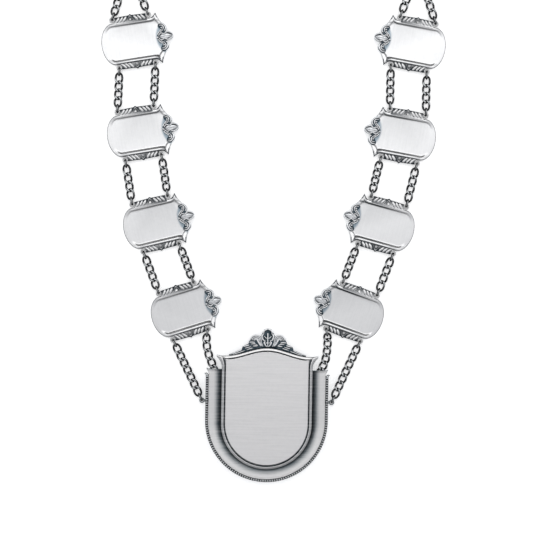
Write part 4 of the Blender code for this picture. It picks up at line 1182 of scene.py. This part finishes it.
def addSide(side):
    # between the shields
    for word, inner in (("outer", False), ("inner", True)):
        for number in (1, 2, 3):
            hooks = (shieldEye(f"{side}_{number}", inner, True),
                     shieldEye(f"{side}_{number + 1}", inner, False))
            addStrand(f"links_{side}_{number}_{word}", f"strand_{side}_{number}_{word}", hooks)

    # from the lowest shield to the pendant's eye, and slack to the loop behind its dish
    pendant = placeAt(*pendantPlace)
    hand = 1 if side == "right" else -1
    eye = inMillimetres(pendant, hand * dish["armReach"], dish["armHeight"])
    addStrand(f"links_{side}_4_outer", f"strand_{side}_4_outer", (shieldEye(f"{side}_4", False, True), eye))
    x, y, turn = dish["rearLoops"][0 if side == "left" else 1]
    angle, hold = math.radians(turn), dish["loopHold"]
    bow = inMillimetres(pendant, x + math.cos(angle) * hold, y + math.sin(angle) * hold)
    bow.z = dish["holdHeight"]
    between = [inMillimetres(pendant, px, py) for px, py in slackRoutes[side]]
    addStrand(f"links_{side}_4_inner", f"strand_{side}_4_inner", (shieldEye(f"{side}_4", True, True), None),
              between, bow)

    # from the top shield to the joining ring, and on round the neck to the clasp ring
    joining, joiningHook = Vector((*joiningPlaces[side], 0.0)), rings["joining"]["hook"]
    for word, inner in (("outer", False), ("inner", True)):
        eye = shieldEye(f"{side}_1", inner, False)
        hooks = (eye, hookOn(joining, eye, joiningHook))
        addStrand(f"links_{side}_0_{word}", f"strand_{side}_0_{word}", hooks)
    addRing(f"joining_ring_{side}_wire", "joining", joiningPlaces[side], f"joining_ring_{side}")
    route = [Vector((*point, 0.0)) for point in neckRoutes[side]]
    clasp = Vector((*claspPlace, 0.0))
    hooks = (hookOn(joining, route[0], joiningHook), hookOn(clasp, route[-1], rings["clasp"]["hook"]))
    addStrand(f"links_neck_{side}", f"neck_chain_{side}", hooks, route)


# Table

table = {"size": 6.0, "colour": (0.93, 0.93, 0.93, 1.0), "roughness": 0.7, "glow": 0.52}


def addTable():
    material, _, shader = newMaterial("paleTable")
    shader.inputs["Base Color"].default_value = table["colour"]
    shader.inputs["Roughness"].default_value = table["roughness"]
    shader.inputs["Emission Color"].default_value = table["colour"]
    shader.inputs["Emission Strength"].default_value = table["glow"]
    bm = bmesh.new()
    bmesh.ops.create_grid(bm, x_segments=1, y_segments=1, size=table["size"] / 2)
    mesh = bpy.data.meshes.new("table")
    bm.to_mesh(mesh)
    bm.free()
    mesh.materials.append(material)
    top = bpy.data.objects.new("table", mesh)
    bpy.context.scene.collection.objects.link(top)


addCamera()
addLights()
addTable()
materials = {name: metal(name) for name in finishes}
print("camera, lights and finishes are ready")
for name, place in shieldPlaces.items():
    addShield(name, *place)
    addSmallCrest(name, *place)
print("small shields are made")
addDish()
addBeadWire()
addFrontShield()
addBigCrest()
print("pendant is made")
for side in ("left", "right"):
    addSide(side)
addRing("clasp_ring_wire", "clasp", claspPlace, "clasp_ring")
print("chain is made")

bpy.context.view_layer.update()
